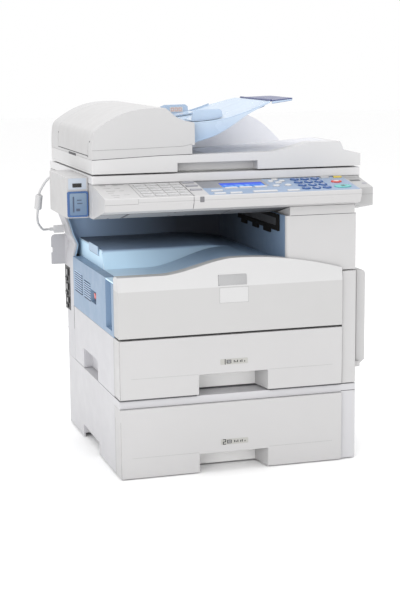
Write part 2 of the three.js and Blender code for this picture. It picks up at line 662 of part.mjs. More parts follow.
function rightBox() {
  const section = [[10, 453.4], [10, 485], [SCANNER.front - 1.6, 496.8], [SCANNER.front - 1.6, 443]];
  const x0 = PANEL.right + SEAM;
  const x1 = FOOTPRINT.right;
  const inner = [[13, 456.5], [13, 482], [SCANNER.front, 493], [SCANNER.front, 446.5]];
  return cut(alongX(section, x0, x1), alongX(inner, x0 + SKIN, x1 - SKIN));
}

// ------------------------------------------------------------------ card reader, cable

const CARD = { left: -62, right: -24.8, front: 100, back: 250, base: 442, top: 512 };

function cardHousing() {
  const { left, right, front, back, base, top } = CARD;
  return cut(
    box(left, right, front, back, base, top),
    box(left + SKIN, right - SKIN, front + SKIN, back - SKIN, base + SKIN, top - SKIN),
    box(-50, -36, front - 1, front + 14, 494, 500.5),
    box(-57, -30, front - 1, front + 14, 462, 468.5));
}

function cardFlap() {
  const { left, right, front } = CARD;
  return alongY([[left, 446], [left + 2, 444], [right - 2.6, 444], [right - 0.6, 446], [right - 0.6, 486],
    [right - 2.6, 488], [left + 2, 488], [left, 486]], front - 4, front - 0.4);
}

const CABLE_RADIUS = 2.2;
const FERRITE = { from: new THREE.Vector3(-74.6, 289, 465), to: new THREE.Vector3(-76.8, 295, 438), radius: 6.6 };
const PLUG = { x: -36, y: 399, z: 387 };
const alongFerrite = (t) => FERRITE.from.clone().lerp(FERRITE.to, t).toArray();
const cableRoute = [
  [-55.5, 250.4, 499.5], [-56, 257, 499.5], [-59.5, 265, 497.5], [-65, 274, 490], [-71, 282.5, 478],
  ...[-0.15, 0.15, 0.5, 0.85, 1.15].map(alongFerrite),
  [-76.2, 307, 423], [-71.5, 326, 409], [-61.5, 352, 397], [-52, 380, 389.2], [-46.5, 393.5, 387.4],
  [PLUG.x - 5, PLUG.y - 0.2, PLUG.z], [PLUG.x - 0.4, PLUG.y, PLUG.z]];

function usbCable() {
  const path = new THREE.CatmullRomCurve3(cableRoute.map((p) => new THREE.Vector3(...p)), false, 'centripetal');
  const section = new THREE.Shape(range(8).map((i) => new THREE.Vector2(
    CABLE_RADIUS * Math.cos(Math.PI * i / 4), CABLE_RADIUS * Math.sin(Math.PI * i / 4))));
  return new THREE.ExtrudeGeometry(section, { steps: 40, extrudePath: path, bevelEnabled: false });
}

// The ferrite is a sleeve: the cable passes through a bore a little wider than itself.
function ferriteCore() {
  const { from, to, radius } = FERRITE;
  const length = from.distanceTo(to);
  const half = length / 2;
  const bore = CABLE_RADIUS + 0.8;
  const profile = [[bore, -half], [radius - 1.2, -half], [radius, -half + 2], [radius, half - 2],
    [radius - 1.2, half], [bore, half], [bore, -half]].map(([r, y]) => new THREE.Vector2(r, y));
  const sleeve = new THREE.LatheGeometry(profile, 16);
  const turn = new THREE.Quaternion().setFromUnitVectors(
    new THREE.Vector3(0, 1, 0), from.clone().sub(to).normalize());
  return sleeve.applyQuaternion(turn).translate(...from.clone().add(to).multiplyScalar(0.5).toArray());
}

function usbPlug() {
  const { x, y, z } = PLUG;
  return join(rodX(y, z, 3.4, x, x + 8.5, 16), box(x + 8, x + 26.8, y - 4.5, y + 4.5, z - 7, z + 7));
}

// -------------------------------------------------------------------- document feeder

// The feeder's outer outline from its lower left corner over the crest to the paper entry.
const CREST = smooth([[-24.3, 558], [-22.5, 580], [-18.8, 589.6], [-11.9, 595.4], [2.4, 605.2], [20.2, 614.7],
  [38, 621.2], [55.7, 625], [73.5, 626.6], [91.4, 626.9], [105.8, 626.4]], 20);
const ENTRY = [...smooth([[105.8, 626.4], [112.9, 620.5], [121.8, 612.6], [136.2, 605.3], [154.3, 601.5]], 12).slice(1),
  [156.4, 599.8], [156.8, 563]];

// Upper edge of the base along its front.
const BASE_FRONT = [[-24.3, 541.9], [95, 546.2], [300, 547], [335, 554], [365, 562], [424, 562], [431, 547],
  [462.7, 539.5]];
const BASE_PAN = [[-24.3, 541.9], [95, 546.2], [152, 546.8], [156, 538.5], [230, 540], [330, 549], [423, 562],
  [430, 546.5], [462.7, 539.5]];
const BASE_REAR = [[-24.3, 541.9], [95, 546.2], [152, 546.8], [156, 540], [462.7, 539.5]];

// Plan of the raised part of the pan, whose back edge runs diagonally.
const RAISED_PAN = [[100, 94], [480, 94], [480, 142], [426, 188], [388, 221], [300, 297], [150, 316], [100, 316]];
const FIN = [[157, 537], [157, 585], [200, 592], [260, 604], [300, 606], [333.8, 599.4], [356.7, 587.9], [375, 573.9],
  [389.7, 559.8], [398.8, 549.4], [402, 537]];
const GRIP_RECESS = { left: 125, right: 270, depth: 24, top: 533 };

function closed(top, base) {
  return [[top[0][0], base], ...top, [top[top.length - 1][0], base]];
}

function hingeArm(x0, x1) {
  return join(
    box(x0, x1, ADF.back - SKIN, LID_AXIS.y, LID_AXIS.z - 5, LID_AXIS.z + 5),
    rodX(LID_AXIS.y, LID_AXIS.z, 5, x0, x1));
}

function adfBase() {
  const { front, back, base, hollow } = ADF;
  const { left, right, depth, top } = GRIP_RECESS;
  const deck = join(
    alongY(closed(BASE_FRONT, base), front, 96),
    common(alongY(closed(BASE_PAN, base), 95, 316), alongZ(RAISED_PAN, base, 570)),
    alongY(closed(BASE_REAR, base), 95, back),
    alongY(FIN, 314, 318));
  const hollowed = cut(deck,
    box(SCANNER.left + SKIN, SCANNER.right - SKIN, front + SKIN, back - SKIN, base + 2.5, hollow),
    box(130, 310, back - SKIN - 1, back + 1, 523, 532));
  const grip = cut(
    join(hollowed, box(left - SKIN, right + SKIN, front, front + depth + SKIN, base, hollow + 2)),
    box(left, right, front - 1, front + depth, base - 1, top));
  return cut(join(grip, hingeArm(68, 92), hingeArm(348, 372)),
    rodX(LID_AXIS.y, LID_AXIS.z, 2.6, 60, 380));
}

function lidHinge(x0) {
  const tower = join(
    box(x0, x0 + 38, 424, 437.6, SCANNER.top + SEAM, SCANNER.top + 2.6),
    box(x0, x0 + 6, 424, 437.6, SCANNER.top + SEAM, LID_AXIS.z + 6.5),
    box(x0 + 32, x0 + 38, 424, 437.6, SCANNER.top + SEAM, LID_AXIS.z + 6.5),
    rodX(LID_AXIS.y, LID_AXIS.z, 2.2, x0 + 1, x0 + 37, 16));
  return tower;
}

const ROLLER_ADF = { x: 98, z: 592 };

// The fixed part of the feeder: a trough between two profiled cheeks.
function feederBody() {
  const right = 151.8;
  const entryStart = 112;
  const slimBack = 84.5;
  const cheekBase = 561;
  const cheek = [...CREST, ...ENTRY];
  const innerCheek = [...CREST, [entryStart, 621.2], [entryStart, cheekBase]];
  const hollow = (y0, y1) => join(alongY(shrink(cheek), y0, y1), box(-14, 140, y0, y1, 551, 580));
  const trough = cut(
    alongY([[SCANNER.left, 542.3], [95, 546.6], [right, 547.2], [right, 563.4], [SCANNER.left, 558.6]],
      ADF.front, ADF.back),
    box(-20, right - SKIN, ADF.front + 4, ADF.back - 4, 550, 570),
    box(-26, 8, CHEEK_FRONT, CHEEK_BACK, 547, 600));
  const front = join(
    cut(alongY(cheek, ADF.front, slimBack), hollow(ADF.front + SKIN, slimBack - SKIN)),
    alongY(innerCheek, slimBack - 0.5, CHEEK_FRONT - SEAM));
  const rear = cut(alongY(cheek, CHEEK_BACK + SEAM, ADF.back), hollow(CHEEK_BACK + 6, ADF.back - SKIN));
  return cut(join(trough, front, rear),
    rodY(ROLLER_ADF.x, ROLLER_ADF.z, 3.5, CHEEK_FRONT - 8, CHEEK_BACK + 8, 16),
    rodY(FEEDER_PIVOT.x, FEEDER_PIVOT.z, 2.5, CHEEK_FRONT - 8, CHEEK_BACK + 8, 16));
}

// An outline scaled in towards its middle, so that a wall is left round it.
function shrink(points) {
  const xs = points.map(([x]) => x);
  const zs = points.map(([, z]) => z);
  const middleX = (Math.min(...xs) + Math.max(...xs)) / 2;
  const middleZ = (Math.min(...zs) + Math.max(...zs)) / 2;
  const scaleX = 1 - SKIN / (Math.max(...xs) - middleX);
  const scaleZ = 1 - SKIN / (Math.max(...zs) - middleZ);
  return points.map(([x, z]) => [middleX + (x - middleX) * scaleX, middleZ + (z - middleZ) * scaleZ]);
}

// The jam cover between the cheeks, which swings up about its left edge.
function feederCover() {
  const front = CHEEK_FRONT + SEAM;
  const back = CHEEK_BACK - SEAM;
  const outer = [[SCANNER.left, 548], ...CREST.slice(1), [112, 621.2]];
  const inner = outer.map(([x, z], i) => {
    const before = outer[Math.max(0, i - 1)];
    const after = outer[Math.min(outer.length - 1, i + 1)];
    const length = Math.hypot(after[0] - before[0], after[1] - before[1]);
    return [x + SKIN * (after[1] - before[1]) / length, z - SKIN * (after[0] - before[0]) / length];
  });
  inner[0] = [outer[0][0] + SKIN, outer[0][1]];
  const sheet = [...outer, ...inner.slice().reverse()];
  const rib = [...outer.slice(1), [100, 612], [60, 611], [24, 601], [-4, 586], [-12, 566], [-23, 566]];
  return join(
    alongY(sheet, front, back),
    alongY(rib, front, front + SKIN),
    alongY(rib, back - SKIN, back),
    rodY(FEEDER_PIVOT.x, FEEDER_PIVOT.z, 2.2, front - 5, front + 1, 16),
    rodY(FEEDER_PIVOT.x, FEEDER_PIVOT.z, 2.2, back - 1, back + 5, 16));
}

function pickupRoller() {
  return turnedY(ROLLER_ADF.x, ROLLER_ADF.z, [[3, 92], [3, 196], [10.5, 196], [10.5, 250], [3, 250], [3, 357]], 24);
}

const DOC_TRAY = { front: 86, back: 330, left: 124 };
const DOC_SURFACE = smooth([[124, 600], [152, 600], [180, 600.8], [204, 603.3], [228.5, 608.8], [261, 619], [280, 626.2],
  [300, 633.8]], 14);
const DOC_WEB = [[160, 565], [200, 577], [230, 593], [257, 610.5], [280, 622]];
const DOC_PLAN = [[120, 80], [305, 80], [305, 268], [299, 282], [290, 297], [276, 314], [262, 332], [120, 332]];

function docTray() {
  const sheet = [...DOC_SURFACE, ...DOC_SURFACE.map(([x, z]) => [x, z - 2.6]).reverse()];
  const webTop = DOC_SURFACE.filter(([x]) => x > 161);
  const wall = [[160, 600.2], ...webTop, [300, 631.4], ...DOC_WEB.slice().reverse()];
  const { front, back } = DOC_TRAY;
  const whole = join(
    alongY(sheet, front, back),
    alongY(wall, front, front + 2.4),
    alongY(wall.map(([x, z]) => [x, z + (z > 600 && x < 290 ? 3 : 0)]), back - 2.4, back),
    rodY(DOC_TRAY.left + 1.5, 598.8, 2.4, front, back, 16));
  return common(whole, alongZ(DOC_PLAN, 550, 660));
}

// The stopper flap, hinged to the tray's end so that it folds back over the tray. Its far
// corner is cut off in a curve and a flange stiffens its front edge.
const FLAP_PIVOT = { x: 302.8, z: 634.6 };
const FLAP_PLAN = [[300, 86], [342, 86], [342, 196], [335, 213], [322, 229], [311, 246], [304, 262], [300, 262]];

function trayExtension() {
  const { x, z } = FLAP_PIVOT;
  const section = [[x, z + 0.6], [x + 37, z + 4.2], [x + 38.4, z + 3.6], [x + 38.4, z + 1.6], [x, z - 1.6]];
  const flange = [[x + 0.4, z - 5.6], [x + 37.4, z - 0.6], [x + 38.4, z + 1], [x + 38.4, z + 3.4], [x + 0.4, z + 0.4]];
  return join(
    common(alongY(section, 86, 262), alongZ(FLAP_PLAN, 620, 650)),
    alongY(flange, 86, 88.2),
    rodY(x, z, 2, 90, 258, 16));
}

function sideGuide(y0, y1, footFront, footBack) {
  const fence = [[162, 602.4], [164, 618], [172, 621], [212, 621.5], [217, 618], [218, 609.6], [204, 605.6]];
  const foot = [[162, 601.4], [181, 601.6], [205, 604.2], [218, 607.1], [218, 609.6], [204, 606.6], [180, 603.6],
    [162, 603]];
  return join(alongY(fence, y0, y1), alongY(foot, footFront, footBack));
}

// -------------------------------------------------------------------------- assembly

buildFeedUnit();
buildMainDrawer();
add('main_frame', mainFrame(), STEEL);
add('left_cover', sideGripCover(), WHITE);
add('vent_cover', ventCover(), BLUE);
add('power_switch', powerSwitch(), plastic(0xd0473c, 0.4));
add('front_cover', frontCover(), WHITE);
add('toner_bottle', cartridge(TONER), GREY);
add('drum_roller', drumRoller(), plastic(0x3c8f7c, 0.2));
add('fuser_roller', fuserRoller(), RUBBER);
add('output_tray', outputTray(), BLUE);
add('paper_stop', paperStop(), BLUE);
add('exit_pillar', exitPillar(), WHITE);
add('exit_frame', exitFrame(), DARK);
add('exit_roller', exitRoller(), RUBBER);
add('rear_cover', rearCover(), WHITE);
add('right_door', rightDoor(), WHITE);
add('bypass_tray', bypassTray(), WHITE);
add('scanner_base', scannerBase(), WHITE);
add('scanner_top', scannerTop(), WHITE);
add('exposure_glass', exposureGlass(), GLASS);
add('scan_carriage', scanCarriage(), DARK);
add('mirror_carriage', mirrorCarriage(), DARK);
buildPanel();
add('right_box', rightBox(), WHITE);
add('card_housing', cardHousing(), WHITE);
add('card_flap', cardFlap(), CLEAR_BLUE);
add('usb_cable', usbCable(), PALE);
add('ferrite_core', ferriteCore(), PALE);
add('usb_plug', usbPlug(), PALE);
add('adf_base', adfBase(), WHITE);
add('platen_sheet', box(20, 446, 98, 346, SCANNER.top + 0.4, ADF.base - 0.3), plastic(0xf4f4f2, 0.9));
add('hinge_left', lidHinge(61), STEEL);
add('hinge_right', lidHinge(341), STEEL);
add('feeder_body', feederBody(), WHITE);
add('feeder_cover', feederCover(), WHITE);
add('pickup_roller', pickupRoller(), RUBBER);
add('doc_tray', docTray(), CLEAR_BLUE);
add('tray_extension', trayExtension(), DEEP_BLUE);
add('guide_front', sideGuide(104, 107, 104, 150), CLEAR_BLUE);
add('guide_rear', sideGuide(317, 320, 270, 320), CLEAR_BLUE);

export default machine;
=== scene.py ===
# Looks of the desktop photocopier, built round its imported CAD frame.
import json
import math

import bmesh
import bpy
from mathutils import Matrix, Vector

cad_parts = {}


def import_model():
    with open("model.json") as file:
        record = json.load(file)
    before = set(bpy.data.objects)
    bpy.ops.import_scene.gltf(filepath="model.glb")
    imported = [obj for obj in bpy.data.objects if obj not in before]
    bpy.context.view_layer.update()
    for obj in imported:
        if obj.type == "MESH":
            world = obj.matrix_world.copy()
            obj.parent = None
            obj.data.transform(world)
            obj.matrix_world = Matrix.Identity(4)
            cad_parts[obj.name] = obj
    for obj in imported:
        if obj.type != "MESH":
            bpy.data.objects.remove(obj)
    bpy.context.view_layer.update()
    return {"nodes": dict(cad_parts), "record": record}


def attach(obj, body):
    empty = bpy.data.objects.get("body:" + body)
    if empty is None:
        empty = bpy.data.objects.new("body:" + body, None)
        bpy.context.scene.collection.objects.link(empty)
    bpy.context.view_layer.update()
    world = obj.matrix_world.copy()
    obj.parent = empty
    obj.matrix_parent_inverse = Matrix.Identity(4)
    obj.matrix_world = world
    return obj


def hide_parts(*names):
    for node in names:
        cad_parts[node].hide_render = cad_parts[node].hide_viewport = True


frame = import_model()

NODES = frame["nodes"]
SLOTS = {part["node"]: part["material_slot"] for part in frame["record"]["subparts"]}

# The CAD source measures in millimetres from the drawers' front left corner at floor level:
# X to the right, Y to the back, Z up. DRAWER_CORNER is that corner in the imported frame.
DRAWER_CORNER = Vector((-200.35, -209.0, 0.0))
X, Y, Z = 0, 1, 2
UP, FRONT, LEFT, RIGHT = (0, 0, 1), (0, -1, 0), (-1, 0, 0), (1, 0, 0)


def at(x, y, z):
    """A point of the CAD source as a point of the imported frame, in metres."""
    return (Vector((x, y, z)) + DRAWER_CORNER) * 0.001


def on_axis(axis, value):
    """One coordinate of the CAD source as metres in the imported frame."""
    return at(value, value, value)[axis]


def link(obj):
    bpy.context.scene.collection.objects.link(obj)
    return obj


# ---- camera
# Fitted to the photograph. Angles are in degrees, the lens and sensor in millimetres.
CAMERA_TURN = (16.73, 10.08, -0.54)
CAMERA_PLACE = (-553.96, -2317.40, 735.71)
LENS, SENSOR = 86.97, 36.0


def make_camera():
    """Places the camera by yaw from +Y, pitch down and roll."""
    yaw, pitch, roll = (math.radians(angle) for angle in CAMERA_TURN)
    level = math.cos(pitch)
    forward = Vector((math.sin(yaw) * level, math.cos(yaw) * level, -math.sin(pitch)))
    right = Vector((math.cos(yaw), -math.sin(yaw), 0))
    up = right.cross(forward)
    right, up = (math.cos(roll) * right + math.sin(roll) * up,
                 -math.sin(roll) * right + math.cos(roll) * up)
    turn = Matrix((right, up, -forward)).transposed().to_4x4()
    data = bpy.data.cameras.new("camera")
    data.lens = LENS
    data.sensor_width = SENSOR
    data.clip_start = 0.05
    data.clip_end = 60
    camera = link(bpy.data.objects.new("camera", data))
    camera.matrix_world = Matrix.Translation(at(*CAMERA_PLACE)) @ turn
    bpy.context.scene.camera = camera


make_camera()


# ---- materials
# Noise scales, per metre: clouding, handling marks and the mould's sparked grain.
CLOUD, HANDLED, GRAIN = 9.0, 38.0, 1600.0
# Heights of that grain on ordinary and on polished plastic, in metres.
GRAIN_DEPTH, POLISHED = 0.00004, 0.00001
GLOSS_CHANGE = 0.06
PLASTIC_IOR = 1.5


class Nodes:
    """Short calls for building one material's node tree."""

    def __init__(self, name):
        self.material = bpy.data.materials.new(name)
        self.material.use_nodes = True
        self.tree = self.material.node_tree
        self.tree.nodes.clear()
        self.shader = self.add("BsdfPrincipled")
        output = self.add("OutputMaterial")
        self.link(self.shader.outputs[0], output.inputs[0])
        self.place = self.add("TexCoord").outputs["Object"]

    def add(self, kind, **settings):
        node = self.tree.nodes.new("ShaderNode" + kind)
        for key, value in settings.items():
            setattr(node, key, value)
        return node

    def link(self, a, b):
        self.tree.links.new(a, b)

    def noise(self, scale, detail=2.0, stretch=None):
        node = self.add("TexNoise")
        node.inputs["Scale"].default_value = scale
        node.inputs["Detail"].default_value = detail
        source = self.place
        if stretch:
            mapping = self.add("Mapping")
            mapping.inputs["Scale"].default_value = stretch
            self.link(self.place, mapping.inputs["Vector"])
            source = mapping.outputs[0]
        self.link(source, node.inputs["Vector"])
        return node.outputs["Fac"]

    def spread(self, value, low, high, start=0.3, end=0.7):
        """A value between start and end, stretched to run from low to high."""
        node = self.add("MapRange")
        self.link(value, node.inputs["Value"])
        for key, number in (("From Min", start), ("From Max", end), ("To Min", low), ("To Max", high)):
            node.inputs[key].default_value = number
        return node.outputs[0]

    def blend(self, factor, a, b):
        """Mixes two colours or colour outputs."""
        node = self.add("Mix", data_type="RGBA")
        self.link(factor, node.inputs["Factor"])
        for socket, value in ((node.inputs["A"], a), (node.inputs["B"], b)):
            if isinstance(value, (tuple, list)):
                socket.default_value = (*value[:3], 1)
            else:
                self.link(value, socket)
        return node.outputs["Result"]

    def axes(self, source=None):
        """The three coordinates of a place, or of another vector."""
        node = self.add("SeparateXYZ")
        self.link(source or self.place, node.inputs[0])
        return node.outputs

    def shade(self, socket, value):
        """Links a socket of the shader, or sets it to a number."""
        end = self.shader.inputs[socket]
        if isinstance(value, float):
            end.default_value = value
        else:
            self.link(value, end)

    def gloss(self, noise, rough):
        """Roughness that changes a little with the noise."""
        self.shade("Roughness", self.spread(noise, rough - GLOSS_CHANGE, rough + GLOSS_CHANGE))

    def bump(self, height, strength, distance, before=None):
        node = self.add("Bump")
        node.inputs["Strength"].default_value = strength
        node.inputs["Distance"].default_value = distance
        self.link(height, node.inputs["Height"])
        if before is not None:
            self.link(before, node.inputs["Normal"])
        return node.outputs[0]


def moulded(name, color, rough=0.5, grain=GRAIN, grain_depth=GRAIN_DEPTH, vary=0.03, **sockets):
    """Moulded plastic: a fine sparked texture, faint clouding of the colour and uneven gloss.

    Other sockets are given by name, with _ for a space."""
    n = Nodes(name)
    cloud = n.noise(CLOUD, 3.0)
    handled = n.noise(HANDLED, 4.0)
    light = tuple(min(1.0, c * (1 + vary)) for c in color)
    dark = tuple(c * (1 - vary) for c in color)
    n.shade("Base Color", n.blend(n.spread(cloud, 0, 1), dark, light))
    n.gloss(handled, rough)
    fine = n.bump(n.noise(grain), 0.35, grain_depth)
    n.shade("Normal", n.bump(cloud, 0.12, 0.0006, fine))
    for key, value in sockets.items():
        n.shade(key.replace("_", " "), value)
    return n.material


def metal(name, color, rough, stretch=(1, 1, 1), scale=900.0):
    """Sheet metal with drawn grain and light stains."""
    n = Nodes(name)
    grain = n.noise(scale, 3.0, stretch)
    stain = n.noise(14.0, 4.0)
    dark = tuple(c * 0.82 for c in color)
    n.shade("Base Color", n.blend(n.spread(stain, 0, 1), dark, color))
    n.shade("Roughness", n.spread(grain, rough - 0.08, rough + 0.1))
    n.shade("Normal", n.bump(grain, 0.2, 0.00003))
    n.shade("Metallic", 1.0)
    return n.material


WHITE = (0.448, 0.443, 0.445)
# The record's plastic slots: colour, roughness and what else differs.
CLEAR = {"grain_depth": POLISHED, "IOR": PLASTIC_IOR}
PLASTICS = {
    "white_plastic": (WHITE, 0.46, {"vary": 0.012}),
    "pale_plastic": ((0.47, 0.468, 0.475), 0.4, {"vary": 0.02}),
    "grey_plastic": ((0.30, 0.30, 0.33), 0.5, {}),
    "dark_plastic": ((0.013, 0.013, 0.014), 0.45, {"vary": 0.2}),
    "blue_plastic": ((0.20, 0.285, 0.40), 0.45, {}),
    "clear_blue_plastic": ((0.47, 0.575, 0.71), 0.22, {**CLEAR, "Transmission_Weight": 0.2}),
    "deep_blue_plastic": (
        (0.07, 0.085, 0.20), 0.3, {**CLEAR, "Specular_IOR_Level": 0.25, "Transmission_Weight": 0.1}),
    "panel_blue_grey": ((0.36, 0.46, 0.60), 0.38, {"vary": 0.015}),
    "key_blue": ((0.035, 0.095, 0.27), 0.32, {"vary": 0.05}),
    "start_teal": ((0.13, 0.42, 0.41), 0.3, {"vary": 0.05}),
    "stop_red": ((0.50, 0.045, 0.03), 0.3, {"vary": 0.05}),
    "switch_red": ((0.55, 0.06, 0.045), 0.3, {"vary": 0.05}),
    "screen": ((0.03, 0.13, 0.75), 0.12, {"grain_depth": POLISHED, "Coat_Weight": 0.4}),
    "rubber": ((0.018, 0.018, 0.019), 0.75, {"grain": 700.0, "grain_depth": 0.0001, "vary": 0.25}),
    "drum_coating": ((0.03, 0.27, 0.19), 0.12, {"grain_depth": 0.000005, "Coat_Weight": 0.6}),
    "platen_white": ((0.70, 0.70, 0.68), 0.8, {"grain": 600.0, "grain_depth": 0.0001}),
    "scan_glass": (
        (0.93, 0.97, 0.96), 0.03,
        {**CLEAR, "grain_depth": 0.0, "vary": 0.005, "Transmission_Weight": 0.95}),
}
MATERIALS = {name: moulded(name, *look, **more) for name, (*look, more) in PLASTICS.items()}
MATERIALS["zinc_steel"] = metal("zinc_steel", (0.55, 0.56, 0.58), 0.38, (1, 1, 8))
# Materials of gaps, print and painted light and shade, shared by several pieces.
SEAM = moulded("seam_shadow", (0.07, 0.07, 0.075), 0.7, vary=0.1)
FAINT_LINE = moulded("faint_line", (0.31, 0.31, 0.31), 0.6, vary=0.05)
HOLD_PAINTED_LIGHT = moulded("hold_painted_light", (0.80, 0.795, 0.79), 0.5)
SOFT_SEAM = moulded("soft_seam", (0.27, 0.27, 0.27), 0.6, vary=0.05)
YELLOW = moulded("key_yellow", (0.62, 0.46, 0.06), 0.32, vary=0.04)
WHITE_PRINT = moulded("white_print", (0.53, 0.53, 0.535), 0.5, vary=0.02)
SILVER = metal("silver_plate", (0.42, 0.42, 0.425), 0.45, (1, 8, 1))
LABEL_GREY = moulded("label_grey", (0.37, 0.365, 0.345), 0.45, vary=0.02)
ORANGE_PRINT = moulded("orange_print", (0.62, 0.22, 0.10), 0.5, vary=0.03)
EDGE_BLUE = moulded("edge_blue", (0.07, 0.15, 0.36), 0.2, **CLEAR, Transmission_Weight=0.3)


def faded(name, near, far, axis, start, end, rough=0.5, top=None):
    """Moulded plastic that runs from one tone to another along an axis, from start to end millimetres; mostly
    used to paint light and shade into a surface's colour.

    top gives the same five values for the faces that look up, where they differ, so that upward faces get a
    painted shade of their own."""
    n = Nodes(name)
    parts = n.axes()

    def between(tones, way, low, high):
        return n.blend(n.spread(parts[way], 0, 1, on_axis(way, low), on_axis(way, high)), *tones)

    shade = between((near, far), axis, start, end)
    if top:
        facing = n.axes(n.add("NewGeometry").outputs["Normal"])
        upper = between(top[:2], *top[2:])
        shade = n.blend(n.spread(facing[Z], 0, 1, 0.55, 0.97), shade, upper)
    clouds = n.spread(n.noise(CLOUD, 3.0), 0, 0.06)
    n.shade("Base Color", n.blend(clouds, shade, tuple(c * 0.8 for c in near)))
    n.gloss(n.noise(HANDLED, 4.0), rough)
    n.shade("Normal", n.bump(n.noise(GRAIN), 0.35, GRAIN_DEPTH))
    return n.material


# ---- carried-over nodes
# Nodes that keep every facet, because joining flat ones would close their openings.
UNEVEN = (
    "vent_cover", "number_keys", "panel_case", "panel_fascia", "output_tray", "tray1_box", "tray2_box",
    "scanner_top")
# Radius of a node's rounded edges by its slot, in metres.
BEVELS = {
    "white_plastic": 0.0012, "blue_plastic": 0.001, "start_teal": 0.001, "stop_red": 0.001,
    "key_blue": 0.0005, "clear_blue_plastic": 0.0005, "deep_blue_plastic": 0.0005, "screen": 0.0003,
    "zinc_steel": 0.0003}
USUAL_BEVEL = 0.0006
WELD_DISTANCE = 0.00002
FLAT_ANGLE, EDGE_ANGLE = math.radians(0.6), math.radians(24)
# Nodes whose white is a lighter or darker copy of the usual white, painted to stand in for the light and
# shade that falls on each part: the scanner's top and the lid's base are lightened where the feeder shades
# them.
PAINTED_LIGHT_WHITES = {
    "adf_base": (0.53, 0.527, 0.53), "scanner_top": (0.58, 0.575, 0.58), "right_box": (0.38, 0.378, 0.38),
    "left_cover": (0.475, 0.472, 0.492), "feed_unit_housing": (0.475, 0.472, 0.488),
    "feeder_body": (0.455, 0.452, 0.455)}


def add_bevel(obj, width, angle):
    modifier = obj.modifiers.new("bevel", "BEVEL")
    modifier.width = width
    modifier.segments = 2
    modifier.limit_method = "ANGLE"
    modifier.angle_limit = angle
    return modifier


def round_edges(obj, width):
    """Modifiers that weld the CAD facets, join flat ones and round the edges."""
    for polygon in obj.data.polygons:
        polygon.use_smooth = True
    weld = obj.modifiers.new("weld", "WELD")
    weld.merge_threshold = WELD_DISTANCE
    if obj.name not in UNEVEN:
        flat = obj.modifiers.new("flat", "DECIMATE")
        flat.decimate_type = "DISSOLVE"
        flat.angle_limit = FLAT_ANGLE
    add_bevel(obj, width, EDGE_ANGLE).miter_outer = "MITER_ARC"
    weighted = obj.modifiers.new("weighted", "WEIGHTED_NORMAL")
    weighted.mode = "FACE_AREA"
    weighted.weight = 90


for name, obj in NODES.items():
    material = MATERIALS[SLOTS[name]]
    # Painted light and shade: these nodes get a lighter or darker copy of the white.
    if name in PAINTED_LIGHT_WHITES:
        material = moulded(name + "_white", PAINTED_LIGHT_WHITES[name], 0.46, vary=0.012)
    obj.data.materials.clear()
    obj.data.materials.append(material)
    round_edges(obj, BEVELS.get(SLOTS[name], USUAL_BEVEL))


# ---- piece tools
# Short names of the slots that most pieces take.
DARK, PALE, GREY = "dark_plastic", "pale_plastic", "grey_plastic"
CLEAR_BLUE, DEEP_BLUE = "clear_blue_plastic", "deep_blue_plastic"
# The body that doesn't move.
FIXED = "machine"


